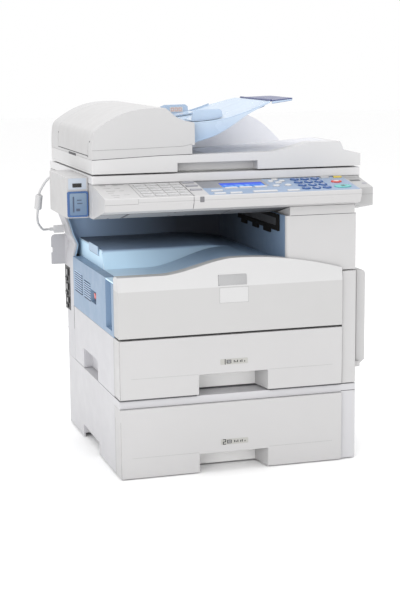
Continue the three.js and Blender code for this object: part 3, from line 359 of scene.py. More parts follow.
class Shape:
    """Collects closed shells and turns them into one piece."""

    def __init__(self):
        self.verts = []
        self.faces = []

    def shell(self, verts, faces):
        """Adds one shell, its faces given by the numbers of its own points."""
        start = len(self.verts)
        self.verts += [Vector(v) for v in verts]
        self.faces += [tuple(start + i for i in face) for face in faces]
        return self

    def prism(self, outline, place, low, high):
        """An outline of (u, v) drawn from low to high; place turns (u, v, w) into a point."""
        count = len(outline)
        verts = [place(u, v, w) for w in (low, high) for u, v in outline]
        sides = [(i, (i + 1) % count, count + (i + 1) % count, count + i) for i in range(count)]
        return self.shell(verts, [tuple(range(count))[::-1], tuple(range(count, 2 * count)), *sides])

    def ring(self, outer, inner, place, low, high):
        """A frame between two outlines with the same number of points."""
        count = len(outer)
        verts = [place(u, v, w) for w in (low, high) for outline in (outer, inner) for u, v in outline]
        faces = []
        for i in range(count):
            loops = [(part * count + i, part * count + (i + 1) % count) for part in range(4)]
            (a, b), (c, d), (e, f), (g, h) = loops
            faces += [(a, b, d, c), (e, g, h, f), (a, e, f, b), (c, d, h, g)]
        return self.shell(verts, faces)

    def box(self, x0, x1, y0, y1, z0, z1):
        return self.prism([(x0, y0), (x1, y0), (x1, y1), (x0, y1)], at, z0, z1)

    def field(self, us, vs, top, bottom, place, keep=lambda u, v: True):
        """A sheet over a grid of (u, v), between two heights, without the cells that aren't kept."""
        cells = {(i, j) for i in range(len(us) - 1) for j in range(len(vs) - 1)
                 if keep((us[i] + us[i + 1]) / 2, (vs[j] + vs[j + 1]) / 2)}
        index = {}
        verts = []
        faces = []

        def corner(i, j, high):
            if (i, j, high) not in index:
                index[i, j, high] = len(verts)
                verts.append(place(us[i], vs[j], (top if high else bottom)(us[i], vs[j])))
            return index[i, j, high]

        for i, j in sorted(cells):
            around = ((i, j), (i + 1, j), (i + 1, j + 1), (i, j + 1))
            faces.append([corner(*spot, 1) for spot in around])
            faces.append([corner(*spot, 0) for spot in (around[0], *around[:0:-1])])
            for side, di, dj in ((3, -1, 0), (1, 1, 0), (0, 0, -1), (2, 0, 1)):
                if (i + di, j + dj) not in cells:
                    a, b = around[side], around[(side + 1) % 4]
                    faces.append([corner(*a, 0), corner(*b, 0), corner(*b, 1), corner(*a, 1)])
        return self.shell(verts, faces)

    def line(self, points, up, width=0.9, height=0.4, sink=0.28, closed=False):
        """A thin bar that follows points on a surface whose outward direction is up, in millimetres."""
        points = [Vector(p) for p in points]
        up = Vector(up).normalized()
        count = len(points)
        rings = []
        for i, p in enumerate(points):
            before = points[i - 1] if closed or i else None
            after = points[(i + 1) % count] if closed or i < count - 1 else None
            ways = [(b - a).normalized() for a, b in ((before, p), (p, after))
                    if a is not None and b is not None]
            ahead = sum(ways, Vector()).normalized()
            across = ahead.cross(up).normalized()
            if len(ways) == 2:
                across /= max(0.4, abs(across.dot(ways[0].cross(up).normalized())))
            low, high = p - up * sink, p + up * (height - sink)
            rings.append([at(*(q + across * width / 2 * side))
                          for q, side in ((low, -1), (low, 1), (high, 1), (high, -1))])
        verts = [v for ring in rings for v in ring]
        faces = []
        for i in range(count if closed else count - 1):
            j = (i + 1) % count
            faces += [(4 * i + k, 4 * i + (k + 1) % 4, 4 * j + (k + 1) % 4, 4 * j + k)
                      for k in range(4)]
        if not closed:
            faces += [(3, 2, 1, 0), tuple(4 * (count - 1) + k for k in range(4))]
        return self.shell(verts, faces)

    def piece(self, name, slot, body, material=None, bevel=0.0, smooth=24, replaces=()):
        """Makes the object, which rides on body; edges sharper than smooth degrees stay sharp."""
        mesh = bpy.data.meshes.new(name)
        mesh.from_pydata(self.verts, [], self.faces)
        bm = bmesh.new()
        bm.from_mesh(mesh)
        bmesh.ops.recalc_face_normals(bm, faces=bm.faces)
        bm.to_mesh(mesh)
        bm.free()
        for polygon in mesh.polygons:
            polygon.use_smooth = True
        mesh.set_sharp_from_angle(angle=math.radians(smooth))
        mesh.materials.append(material or MATERIALS[slot])
        obj = link(bpy.data.objects.new(name, mesh))
        if bevel:
            add_bevel(obj, bevel, math.radians(smooth)).harden_normals = True
        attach(obj, body)
        if replaces:
            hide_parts(*replaces)
        return obj


def slab(name, slot, body, outline, place, low, high, material=None, bevel=0.0, replaces=()):
    """One piece of a single prism."""
    Shape().prism(outline, place, low, high).piece(name, slot, body, material, bevel, replaces=replaces)


def marks(name, body, material, *lines, slot=None):
    """One piece of thin bars, from the arguments of each of its lines."""
    shape = Shape()
    for line in lines:
        shape.line(*line)
    shape.piece(name, slot or (DARK if material == SEAM else GREY), body, material)


def along_y(u, v, w):
    """u to the right, v up, w to the back."""
    return at(u, w, v)


def along_x(u, v, w):
    """u to the back, v up, w to the right."""
    return at(w, u, v)


def before(y):
    """A way to place points: u to the right, v up, w millimetres in front of the plane Y = y."""
    return lambda u, v, w: at(u, y - w, v)


on_front = before(0)


def rounded(u, v, width, height, radius, steps=4):
    """Outline of a rectangle with round corners about (u, v)."""
    radius = min(radius, width / 2, height / 2)
    points = []
    for cu, cv, start in ((1, 1, 0), (-1, 1, 90), (-1, -1, 180), (1, -1, 270)):
        for i in range(steps + 1):
            t = math.radians(start + 90 * i / steps)
            points.append((u + cu * (width / 2 - radius) + radius * math.cos(t),
                           v + cv * (height / 2 - radius) + radius * math.sin(t)))
    return points


def oval(u, v, width, height, steps=24):
    """Outline of an ellipse about (u, v)."""
    turns = [2 * math.pi * i / steps for i in range(steps)]
    return [(u + width / 2 * math.cos(t), v + height / 2 * math.sin(t)) for t in turns]


def spaced(start, end, count):
    """The ends of count equal steps from start to end."""
    return [start + (end - start) * i / count for i in range(count + 1)]


def ease(t):
    """A smooth rise from 0 to 1 while t goes from 0 to 1."""
    t = min(1.0, max(0.0, t))
    return t * t * (3 - 2 * t)


# ---- cord: USB lead
def catmull(points, steps):
    """Centripetal curve through the points, with steps pieces to each span, as in the CAD source."""
    ends = [points[0] * 2 - points[1], *points, points[-1] * 2 - points[-2]]
    path = []
    for span in zip(ends, ends[1:], ends[2:], ends[3:]):
        knots = [0.0]
        for a, b in zip(span, span[1:]):
            knots.append(knots[-1] + math.sqrt((b - a).length))
        for i in range(steps):
            t = knots[1] + (knots[2] - knots[1]) * i / steps
            spot = span
            for level in (((0, 1), (1, 2), (2, 3)), ((0, 2), (1, 3)), ((1, 2),)):
                spot = [a * ((knots[high] - t) / (knots[high] - knots[low]))
                        + b * ((t - knots[low]) / (knots[high] - knots[low]))
                        for (low, high), a, b in zip(level, spot, spot[1:])]
            path.append(spot[0])
    return [*path, points[-1]]


USB_DIAMETER = 0.0044
FERRITE_TOP = Vector((-74.6, 289, 465))
FERRITE_BOTTOM = Vector((-76.8, 295, 438))
# From the card reader box's left side, through the ferrite core, to the plug in the rear cover.
USB_ROUTE = [
    (-55.5, 250.4, 499.5), (-56, 257, 499.5), (-59.5, 265, 497.5), (-65, 274, 490), (-71, 282.5, 478),
    *[tuple(FERRITE_TOP.lerp(FERRITE_BOTTOM, t)) for t in (-0.15, 0.15, 0.5, 0.85, 1.15)],
    (-76.2, 307, 423), (-71.5, 326, 409), (-61.5, 352, 397), (-52, 380, 389.2), (-46.5, 393.5, 387.4),
    (-41, 398.8, 387), (-36.4, 399, 387)]


def make_usb_lead():
    path = catmull([at(*p) for p in USB_ROUTE], 3)
    curve = bpy.data.curves.new("usb_lead", "CURVE")
    curve.dimensions = "3D"
    curve.bevel_depth = USB_DIAMETER / 2
    curve.bevel_resolution = 4
    curve.use_fill_caps = True
    spline = curve.splines.new("POLY")
    spline.points.add(len(path) - 1)
    for point, place in zip(spline.points, path):
        point.co = (*place, 1)
    spline.use_smooth = True
    lead = link(bpy.data.objects.new("usb_lead", curve))
    curve.materials.append(MATERIALS[PALE])
    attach(lead, FIXED)
    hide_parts("usb_cable")


make_usb_lead()


# ---- output tray
# The raised part's left, front and back; the cavity's right wall and top; the deck's lowest height.
TRAY_LEFT, TRAY_FRONT, TRAY_BACK = 18.3, 179.0, 391.0
CAVITY_WALL, CAVITY_TOP, DECK_BASE = 301.5, 440.8, 338.0
# The left end of the cavity's back wall, as (x, z), and the thickness of the lining that follows it.
FLARE = [(0, 338), (5.5, 360), (-2.7, 378), (-8.9, 399), (-15.8, 418), (-23.6, CAVITY_TOP)]
FLARE_INSET, LINING = 4.2, 2.2
DECK_THICKNESS = 2.6
RAISED_FOOT, RAISED_EDGE, RAISED_DROP = 335.2, 5.0, 4
EXIT_SLOT = (48, 256, 417, 435)


def tray_top(x):
    """Height of the raised part in the CAD, falling to the right."""
    return 374 - 26 * max(0.0, (x - 215) / 151) ** 1.2


def deck_top(x):
    """Height of the low deck, rising to the right until it meets the raised part."""
    return min(DECK_BASE + 31 * ease((x - 100) / 135), tray_top(x))


def lowered(x):
    """How far the raised part stays below its CAD height."""
    return RAISED_DROP * min(1.0, max(0.0, (300 - x) / 150))


def rounding(x, y):
    """How far the raised part's round left and front edges lie below its top."""
    fall = 0.0
    for gap in (y - TRAY_FRONT, x - TRAY_LEFT):
        if gap < RAISED_EDGE:
            fall += RAISED_EDGE - math.sqrt(max(0.0, RAISED_EDGE ** 2 - (RAISED_EDGE - gap) ** 2))
    return min(fall, RAISED_EDGE)


def leaning(x, y, z):
    """The raised part's front face leans back as it rises."""
    share = max(0.0, z - DECK_BASE) / 32 * max(0.0, 1 - (y - TRAY_FRONT) / 100)
    return at(x, y + 4 * lowered(x) * share, z)


def on_deck(x, y):
    """The deck's left edge steps in at its front and again towards its back."""
    return x > (4.3 if y < 36 else 0 if y < 92 else 18.1)


def beside_exit(u, v):
    """Everywhere on the cavity's right wall but the slot that the sheets come out of."""
    y0, y1, z0, z1 = EXIT_SLOT
    return not (y0 < u < y1 and z0 < v < z1)


def make_output_tray():
    def part(shape, name, material, **settings):
        shape.piece(name, "blue_plastic", FIXED, material, **settings)

    right = CAVITY_WALL + 0.6
    xs = [0.3, 2.2, 4.3, 11, 18.1, *spaced(24, right, 40)]
    ys = [27.5, 30, 36, 50, 70, 92, 110, 130, 150, 165, 175, TRAY_FRONT + 1]
    # The deck's colour darkens to the right, into the cavity: painted shade under the scanner.
    deck = Shape().field(
        xs, ys, lambda x, y: deck_top(x), lambda x, y: deck_top(x) - DECK_THICKNESS, at, on_deck)
    part(deck, "tray_deck", faded("deck_painted_shade", (0.60, 0.79, 0.95), (0.27, 0.39, 0.54), X, 60, 190),
         replaces=["output_tray"])

    edge = [0, 0.25, 0.8, 1.6, 2.6, 3.8, RAISED_EDGE]
    xs = [*(TRAY_LEFT + gap for gap in edge), *spaced(30, right, 30)]
    ys = [*(TRAY_FRONT + gap for gap in edge), *spaced(200, TRAY_BACK, 8)]
    # The raised part darkens to the right, and its upward faces are painted far darker, darkening towards the
    # back: painted shade under the scanner.
    raised = Shape().field(
        xs, ys, lambda x, y: tray_top(x) - lowered(x) - rounding(x, y), lambda x, y: RAISED_FOOT, leaning)
    part(raised, "tray_raised",
         faded("raised_painted_shade", (0.54, 0.74, 0.90), (0.26, 0.37, 0.50), X, 60, 260,
               top=((0.32, 0.44, 0.62), (0.06, 0.075, 0.11), Y, 185, 340)), smooth=40)

    inset = [(x + FLARE_INSET, z) for x, z in FLARE]
    # The back wall fades to near black to the right: painted shade deep in the cavity.
    wall = Shape().prism(
        [*inset, (right, CAVITY_TOP), (right, DECK_BASE)], along_y, TRAY_BACK, TRAY_BACK + 2.9)
    part(wall, "tray_back_wall", faded("back_wall_painted_shade", (0.31, 0.44, 0.64), (0.02, 0.024, 0.035), X, -20, 215))
    # The lining darkens towards the cavity's top: painted shade under the scanner.
    lining = Shape().prism(
        [*inset, *((x + LINING, z) for x, z in reversed(inset))], along_y, 362.1, TRAY_BACK + 0.5)
    part(lining, "tray_lining", faded("lining_painted_shade", (0.33, 0.46, 0.60), (0.28, 0.38, 0.50), Z, 340, 440))
    y0, y1, z0, z1 = EXIT_SLOT
    # The right wall is painted dark, darker towards the back: painted shade inside the cavity.
    side = Shape().field(
        [17.1, 30, y0, *spaced(60, y1, 10), 300, 350, 393.8], [343, 375, 400, z0, z1, 440.7],
        lambda u, v: CAVITY_WALL, lambda u, v: CAVITY_WALL + 2, along_x, beside_exit)
    part(side, "tray_right_wall", faded("right_wall_painted_shade", (0.17, 0.245, 0.355), (0.035, 0.046, 0.066), Y, 10, 300))

    marks("tray_stop_gap", FIXED, moulded("stop_gap", (0.10, 0.14, 0.22), 0.5),
          ([(21.5, 217, 370.3), (21.5, 292, 370.3)], UP),
          ([(18.3, 216, 369), (18.3, 216, 357.5), (18.3, 293, 357.5), (18.3, 293, 369)], LEFT, 0.8),
          slot=DARK)
    # Pale lines on the raised part's front-left and upper left edges: painted highlight.
    light = Shape().line([(18.9, 196.5, 368.2), (18.6, 180.0, 338.4)], (-0.8, -0.6, 0), 1.3, 0.3, 0.1)
    light.line([(19.4, 198, 369.2), (19.4, 388, 369.2)], (-0.7, 0, 0.7), 1.0, 0.3, 0.1)
    part(light, "tray_edge_highlight", moulded("edge_highlight", (0.72, 0.84, 0.95), 0.4))
    NODES["paper_stop"].data.materials[0] = moulded("paper_stop_blue", (0.38, 0.50, 0.64), 0.4)


make_output_tray()


# ---- front faces
# The bars of each digit, and the two ends of each bar.
SEVEN = {"0": "abcdef", "1": "bc", "2": "abged", "3": "abgcd", "4": "fgbc", "5": "afgcd", "6": "afgedc",
         "7": "abc", "8": "abcdefg", "9": "abcdfg", "-": "g"}
BARS = {"a": ((-1, 2), (1, 2)), "b": ((1, 2), (1, 0)), "c": ((1, 0), (1, -2)), "d": ((-1, -2), (1, -2)),
        "e": ((-1, 0), (-1, -2)), "f": ((-1, 2), (-1, 0)), "g": ((-1, 0), (1, 0))}
# Each drawer's digit, its label's lowest and highest height, its foot and its body.
DRAWERS = (("1", 190, 200, 140.3, "upper_drawer"), ("2", 48, 58, 2.0, "lower_drawer"))
HOLD_LEFT, HOLD_RIGHT, HOLD_TOP, HOLD_BACK = 147.4, 257.6, 34.4, 49.2
LABEL_X, LABEL_WIDTH = 203, 50
CREASE_HEIGHT, FRONT_HEIGHT = 36, 101


def digit(shape, mark, place, u, v, size, stroke, low, high):
    """A digit of plain bars, size tall, drawn on place's plane."""
    for bar in SEVEN[mark]:
        (u0, v0), (u1, v1) = BARS[bar]
        a = Vector((u + u0 * size * 0.27, v + v0 * size * 0.25))
        b = Vector((u + u1 * size * 0.27, v + v1 * size * 0.25))
        ahead = (b - a).normalized() * stroke / 2
        across = Vector((-ahead.y, ahead.x))
        corners = [a - ahead + across, b + ahead + across, b + ahead - across, a - ahead - across]
        shape.prism([tuple(c) for c in corners], place, low, high)


def make_drawer_details(number, low, high, base, body):
    """A drawer front's label with its generic digit and marks, a pale sheet on the hand hold's back wall as
    painted light, and faint lines: painted shade along its crease, and upright lines near its left edges.
    """
    middle = (low + high) / 2
    slab(f"drawer_label_{number}", PALE, body,
         rounded(LABEL_X, middle, LABEL_WIDTH, high - low, 1.6), on_front, -0.2, 0.28, LABEL_GREY, 0.0002)
    ink = Shape()
    digit(ink, number, on_front, 184.5, middle, 8.0, 1.5, 0.2, 0.36)
    ink.prism(rounded(193.5, middle, 8.5, 6.4, 0.6), on_front, 0.2, 0.36)
    for x, height in ((203, 4.2), (206, 2.6), (209, 4.2), (214, 3.4), (217, 4.2), (222, 2.6)):
        ink.prism(rounded(x, low + 2.9 + height / 2, 1.7, height, 0.3), on_front, 0.2, 0.34)
    # A pale sheet on the hand hold's back wall: painted light where the hold lies in shade.
    Shape().box(HOLD_LEFT, HOLD_RIGHT, HOLD_BACK, HOLD_BACK + 0.6, base + 0.8, base + HOLD_TOP).piece(
        f"hold_wall_{number}", "white_plastic", body, HOLD_PAINTED_LIGHT, 0.0003)
    icon = Shape()
    for z in (low + 3.3, low + 5, low + 6.7):
        icon.line([(190.4, -0.34, z), (196.6, -0.34, z)], FRONT, 0.6, 0.3, 0.2)
    icon.piece(f"drawer_icon_{number}", PALE, body, WHITE_PRINT)
    ink.piece(f"drawer_number_{number}", DARK, body)
    # Faint lines along the crease: painted shade where the front's face bends; the upright lines run near the
    # left edges.
    crease = Shape()
    for x0, x1 in ((20, 139), (266, 385)):
        crease.line([(x0, 0, base + CREASE_HEIGHT), (x1, 0, base + CREASE_HEIGHT)], FRONT, 0.5, 0.3, 0.22)
    crease.line([(0.7, 0, base + 1), (0.7, 0, base + FRONT_HEIGHT)], FRONT, 0.7, 0.3, 0.22)
    crease.line([(0.2, 37.4, base + 1), (0.2, 37.4, base + FRONT_HEIGHT)], LEFT, 1.4, 0.3, 0.2)
    crease.piece(f"drawer_crease_{number}", GREY, body, FAINT_LINE)


def cover_face(z):
    """Y of the front cover's face, which leans back above its crease."""
    return 6 * max(0.0, z - 325.7) / 48.3


def make_front_cover_plates():
    """The blank name plate and the blank plate under it."""
    slab("name_plate", "zinc_steel", "front_door", rounded(201.5, 337, 51, 18, 2.2),
         lambda u, v, w: at(u, cover_face(v) - w, v), -0.3, 0.55, SILVER, bevel=0.0003)
    # A dark line along the name plate's left and lower edges: painted shadow of the raised plate.
    shadow = [(x, cover_face(z) - 0.1, z) for x, z in ((176.2, 346), (176.2, 328.4), (226.6, 328.4))]
    marks("name_plate_shadow", "front_door", SEAM, (shadow, FRONT, 0.9, 0.3, 0.15))
    slab("plain_plate", PALE, "front_door", rounded(203.5, 311, 51, 26, 1.5), on_front, -0.3, 0.3,
         moulded("plain_plate", (0.50, 0.498, 0.50), 0.4), 0.0002)
    outline = [(178, -0.1, 298), (229, -0.1, 298), (229, -0.1, 324), (178, -0.1, 324)]
    marks("plain_plate_rim", "front_door", SOFT_SEAM, (outline, FRONT, 0.6, 0.3, 0.15, True), slot=DARK)


for drawer in DRAWERS:
    make_drawer_details(*drawer)
make_front_cover_plates()


# ---- control panel
# The panel rises from the lip at PANEL_Y, PANEL_Z. LIP_Y is where marks on the lip's front lie.
PANEL_Y, PANEL_Z, LIP_Y = -22, 485.2, -21.87
PANEL_SLOPE = math.atan2(500.3 - PANEL_Z, 92)
SLOPE_COS, SLOPE_SIN = math.cos(PANEL_SLOPE), math.sin(PANEL_SLOPE)
PANEL_UP = (0, -SLOPE_SIN, SLOPE_COS)
# Places of the number keys, and the field of the one-touch keys with its columns and rows.
KEY_COLUMNS, KEY_ROWS = (333.5, 352.5, 371.5), (79.4, 59.5, 39.8, 19.4)
TOUCH_LEFT, TOUCH_RIGHT, TOUCH_NEAR, TOUCH_FAR, TOUCH_COLUMNS, TOUCH_ROWS = 42, 127, 6, 88, 4, 5
OVAL = -1
STOP_PLACE, SPLIT_X = (402.5, 55), 127.6


def mm_panel(x, s, h=0.0):
    """A point s up the panel's slope from its lip and h above its surface, in millimetres."""
    return x, PANEL_Y + s * SLOPE_COS - h * SLOPE_SIN, PANEL_Z + s * SLOPE_SIN + h * SLOPE_COS


def on_panel(x, s, h=0.0):
    return at(*mm_panel(x, s, h))


def across(*places, h=0.0):
    return [mm_panel(x, s, h) for x, s in places]


def keys(name, caps, slot, body, material=None, replaces=(), top=1.9, bevel=0.0005):
    """Key caps as one piece; each is its centre, width, height, and corner radius or OVAL."""
    shape = Shape()
    for *cap, corner in caps:
        shape.prism(oval(*cap) if corner == OVAL else rounded(*cap, corner, 3), on_panel, -3.4, top)
    shape.piece(name, slot, body, material, bevel, replaces=replaces)


def make_keys():
    keys("keys_numbers", [(x, s, 15.6, 13, OVAL) for s in KEY_ROWS for x in KEY_COLUMNS], "key_blue",
         "number_pad", replaces=["number_keys"])
    keys("key_white", [(392.5, 85, 15.4, 6, 1.2)], PALE, "number_pad")
    keys("key_yellow", [(416.5, 85, 15, 6, 1.2)], PALE, "number_pad", YELLOW)
    ink = Shape()
    for i, mark in enumerate("123456789-0-"):
        digit(ink, mark, on_panel, KEY_COLUMNS[i % 3], KEY_ROWS[i // 3], 7.0, 1.0, 1.8, 1.98)
    ink.piece("key_digits", PALE, "number_pad", WHITE_PRINT)
    keys("keys_cursor",
         [(298, 83, 12, 7.5, OVAL), (287.2, 72, 10, 8, OVAL), (307.8, 72, 10, 8, OVAL),
          (298, 61.5, 12, 7.5, OVAL), (287, 42, 12.5, 7.5, OVAL), (309, 43.5, 11.5, 9.5, OVAL)],
         PALE, "cursor_pad", WHITE_PRINT, ["cursor_keys"])
    keys("keys_mode", [(142, s, 21, 6.5, 1.4) for s in (85, 63.4, 36.7)], GREY, "function_pad")
    keys("keys_function",
         [*((x, 39.5, 21.5, 5.4, 1.2) for x in (205, 231, 258)), (175, 25, 20, 6, 1.2),
          (175, 7, 20, 5.4, 1.2), (203.5, 7.2, 21, 5.4, 1.2), (256, 9.6, 43, 6.4, 1.4),
          (306, 8.2, 22, 5.4, 1.2)], PALE, "function_pad", WHITE_PRINT, ["function_keys"])
    keys("key_start", [(402, 23, 31, 17, OVAL)], "start_teal", "start", replaces=["start_key"], bevel=0.001)
    keys("key_stop", [(*STOP_PLACE, 19.5, 13.5, OVAL)], "stop_red", "stop", replaces=["stop_key"],
         bevel=0.001)
    slab("key_stop_mark", PALE, "stop", oval(*STOP_PLACE, 11, 6.5, 20), on_panel, 1.7, 2.0,
         WHITE_PRINT)
    slab("key_start_mark", DARK, "start", [(397, 23), (402, 18.5), (407, 23), (402, 27.5)],
         on_panel, 1.7, 2.0, SEAM)


def make_one_touch_keys():
    """Flat keys in a grid, each with a slit near its edge."""
    pitch_x, pitch_s = (TOUCH_RIGHT - TOUCH_LEFT) / TOUCH_COLUMNS, (TOUCH_FAR - TOUCH_NEAR) / TOUCH_ROWS
    xs = [TOUCH_LEFT + pitch_x * (c + 0.5) for c in range(TOUCH_COLUMNS)]
    rows = [TOUCH_NEAR + pitch_s * (r + 0.5) for r in range(TOUCH_ROWS)]
    keys("keys_one_touch", [(x, s, 17.2, 10.8, 0.8) for s in rows for x in xs], PALE, "one_touch",
         replaces=["one_touch_keys"], top=1.0, bevel=0.0003)
    marks("one_touch_slits", "one_touch", SOFT_SEAM,
          *((across((x - 8, s - 4.4), (x + 3, s - 4.4), h=1.0), PANEL_UP, 1.1, 0.3, 0.15)
            for x in xs for s in rows))


def make_panel_marks():
    """Generic print at the left, the case's seams, a status window and the lit screen."""
    print_lines = ((-12, 84, 9), (6, 84, 11), (-12, 68, 13), (8, 66, 9), (-10, 50, 15), (-10, 38, 10),
                   (12, 50, 8), (-8, 22, 14), (14, 24, 10), (-6, 10, 9))
    marks("panel_marks", FIXED, SOFT_SEAM,
          (across((38, 90), (38, 4), (129.2, 4)), PANEL_UP, 1.2),
          *((across((x, s), (x + length, s)), PANEL_UP, 1.0) for x, s, length in print_lines),
          *((across((x0, 89), (x1, 89)), PANEL_UP, 3.0) for x0, x1 in ((-14, -3), (10.5, 29))))
    marks("panel_split", FIXED, SEAM,
          (across((128.0, 91), (128.0, 0.8)), PANEL_UP, 1.0),
          ([(SPLIT_X, LIP_Y, 483.8), (SPLIT_X, LIP_Y + 0.2, 474.8)], FRONT),
          ([(SPLIT_X, -21.5, 474.3), (SPLIT_X, -15.9, 463.4)], (0, -0.9, -0.46)))
    marks("lip_outline", FIXED, SOFT_SEAM,
          ([(32.5, LIP_Y, 483.6), (32.5, LIP_Y + 0.2, 476)], FRONT, 0.7),
          ([(32.5, LIP_Y + 0.2, 475.2), (-23.4, LIP_Y + 0.2, 475.2)], FRONT, 0.7),
          ([(33, LIP_Y + 0.15, 477.6), (427, LIP_Y + 0.15, 477.6)], FRONT, 0.5))
    slab("status_window", GREY, FIXED, rounded(141.8, 479, 7.6, 9.6, 0.8),
         before(LIP_Y + 0.15), -0.5, 0.28,
         moulded("window_grey", (0.15, 0.15, 0.16), 0.3), 0.0002)
    slab("screen_lit", "screen", FIXED, rounded(231.5, 61.2, 76, 26.6, 0.6), on_panel, -3.0, -0.3,
         screen_material(), replaces=["lcd_screen"])


def screen_material():
    """A lit blue display: saturated at its far edge, pale in soft blocks below."""
    n = Nodes("screen_lit")
    y = n.axes()[Y]
    cloud = n.noise(95.0, 1.0, (1, 0.6, 1))
    pale = n.blend(n.spread(cloud, 0, 1, 0.42, 0.62), (0.02, 0.20, 0.72), (0.25, 0.55, 0.90))
    tone = n.blend(n.spread(y, 0, 1, on_panel(0, 52).y, on_panel(0, 67).y), pale, (0.004, 0.06, 0.72))
    n.shade("Base Color", n.blend(cloud, (0.002, 0.01, 0.05), (0.004, 0.02, 0.08)))
    n.shade("Emission Color", tone)
    n.shade("Emission Strength", 0.95)
    n.shade("Specular IOR Level", 0.12)
    n.shade("Roughness", 0.25)
    return n.material


def fascia_material():
    """Three zones of one overlay: white at the left, a grey field round the display, blue beyond."""
    n = Nodes("panel_fascia")
    x, y, _ = n.axes()

    def right_of(edge):
        return n.spread(x, 0, 1, on_axis(X, edge - 0.2), on_axis(X, edge + 0.2))

    beyond = n.spread(y, 0, 1, on_panel(0, 45.6).y, on_panel(0, 46.0).y)
    cloud = n.spread(n.noise(CLOUD, 3.0), 0, 1)
    blue = n.blend(cloud, (0.225, 0.295, 0.41), (0.245, 0.315, 0.43))
    grey = n.blend(n.spread(x, 0, 1, on_axis(X, 155), on_axis(X, 270)), (0.175, 0.18, 0.20),
                   (0.24, 0.25, 0.285))
    field = n.blend(right_of(276.0), grey, blue)
    near_or_far = n.blend(beyond, blue, field)
    n.shade("Base Color", n.blend(right_of(155.5), WHITE, near_or_far))
    n.gloss(n.noise(HANDLED, 4.0), 0.38)
    n.shade("Normal", n.bump(n.noise(GRAIN), 0.35, GRAIN_DEPTH / 2))
    return n.material


make_keys()
make_one_touch_keys()
make_panel_marks()
for name, material in (
        ("panel_fascia", fascia_material()),
        # The rear cover's flared part, left of X -3, takes a darker copy of its white: painted shade.
        ("rear_cover",
         faded("rear_cover_white", (0.40, 0.40, 0.42), (0.475, 0.472, 0.492), X, -3, -1)),
        ("exit_frame", moulded("exit_black", (0.006, 0.0055, 0.005), 0.8, Specular_IOR_Level=0.15)),
        # The front cover is painted lighter above its crease, where the leaning face catches more light:
        # painted light.
        ("front_cover",
         faded("front_cover", (0.435, 0.431, 0.430), (0.505, 0.503, 0.505), Z, 325.3, 326.1))):
    NODES[name].data.materials[0] = material


# ---- seams and fittings
DOWNWARD = (0, -0.232, -0.973)
FEEDER_FRONT, FEEDER_LEFT = 68, -24.3
GAP_LOW, GAP_HIGH = 137.7, 139.9
STRIP_LEFT, STRIP_RIGHT = 403.4, 430.2


def under(x, y, drop=0.0):
    """A point drop below the panel's sloping underside, in millimetres."""
    return x, y - 0.232 * drop, 462.9 - (y + 15.6) * 0.2382 - 0.973 * drop


def make_panel_underside():
    place = lambda u, v, w: at(*under(u, v, w))
    # A plate under the panel, darker towards the right: painted shade under the panel.
    slab("panel_underside", "white_plastic", FIXED, [(-23, 15), (427, 15), (427, 68), (-23, 68)], place,
         -0.2, 0.25, faded("underside", (0.27, 0.273, 0.284), (0.07, 0.072, 0.078), X, -20, 330))
    slots = Shape()
    for x, width in ((24.6, 5.0), (203.5, 2.2), (305, 2.4)):
        slots.line([under(x, 17, 0.25), under(x, 67, 0.25)], DOWNWARD, width, 0.3, 0.15)
    slots.line([under(-23, 15, 0.1), under(427, 15, 0.1)], DOWNWARD, 0.8, 0.4, 0.2)
    for x, y in ((106.3, 61.2), (106.6, 22), (136.9, 61.4), (0.6, 66)):
        slots.prism(oval(x, y, 5, 5, 16), place, 0.1, 0.4)
    slots.piece("underside_slots", DARK, FIXED, SEAM)


def make_feeder_seams():
    front, left = FEEDER_FRONT, FEEDER_LEFT
    marks("feeder_joint", "lid", SEAM,
          ([(-24, front, 542.1), (95, front, 546.5), (151.6, front, 547.2)], FRONT, 1.0))
    marks("feeder_upper_seam", "lid", SOFT_SEAM,
          ([(-24, front, 558.2), (60, front, 559.4), (136, front, 561.4), (151.6, front, 564.6)], FRONT,
           0.8))
    marks("feeder_left_seam", "lid", SEAM,
          ([(left, 105, 547.7), (left, 351, 547.7)], LEFT, 1.5),
          ([(left, 97, 545.5), (left, 97, 557), (-23.3, 97, 571)], LEFT, 0.8),
          ([(left, 105, 547.7), (left, 97, 545.5)], LEFT, 1.2))
    slot = Shape().prism(rounded(226, 543.0, 62, 4.2, 1.8), along_x, -24.5, -24.0)
    for y, z, face in ((86.5, 572.4, -23.7), (353, 574, -23.4)):
        slot.prism(oval(y, z, 3.0, 3.0, 20), along_x, face, -22.4)
    slot.piece("feeder_left_slot", DARK, "lid", SEAM)


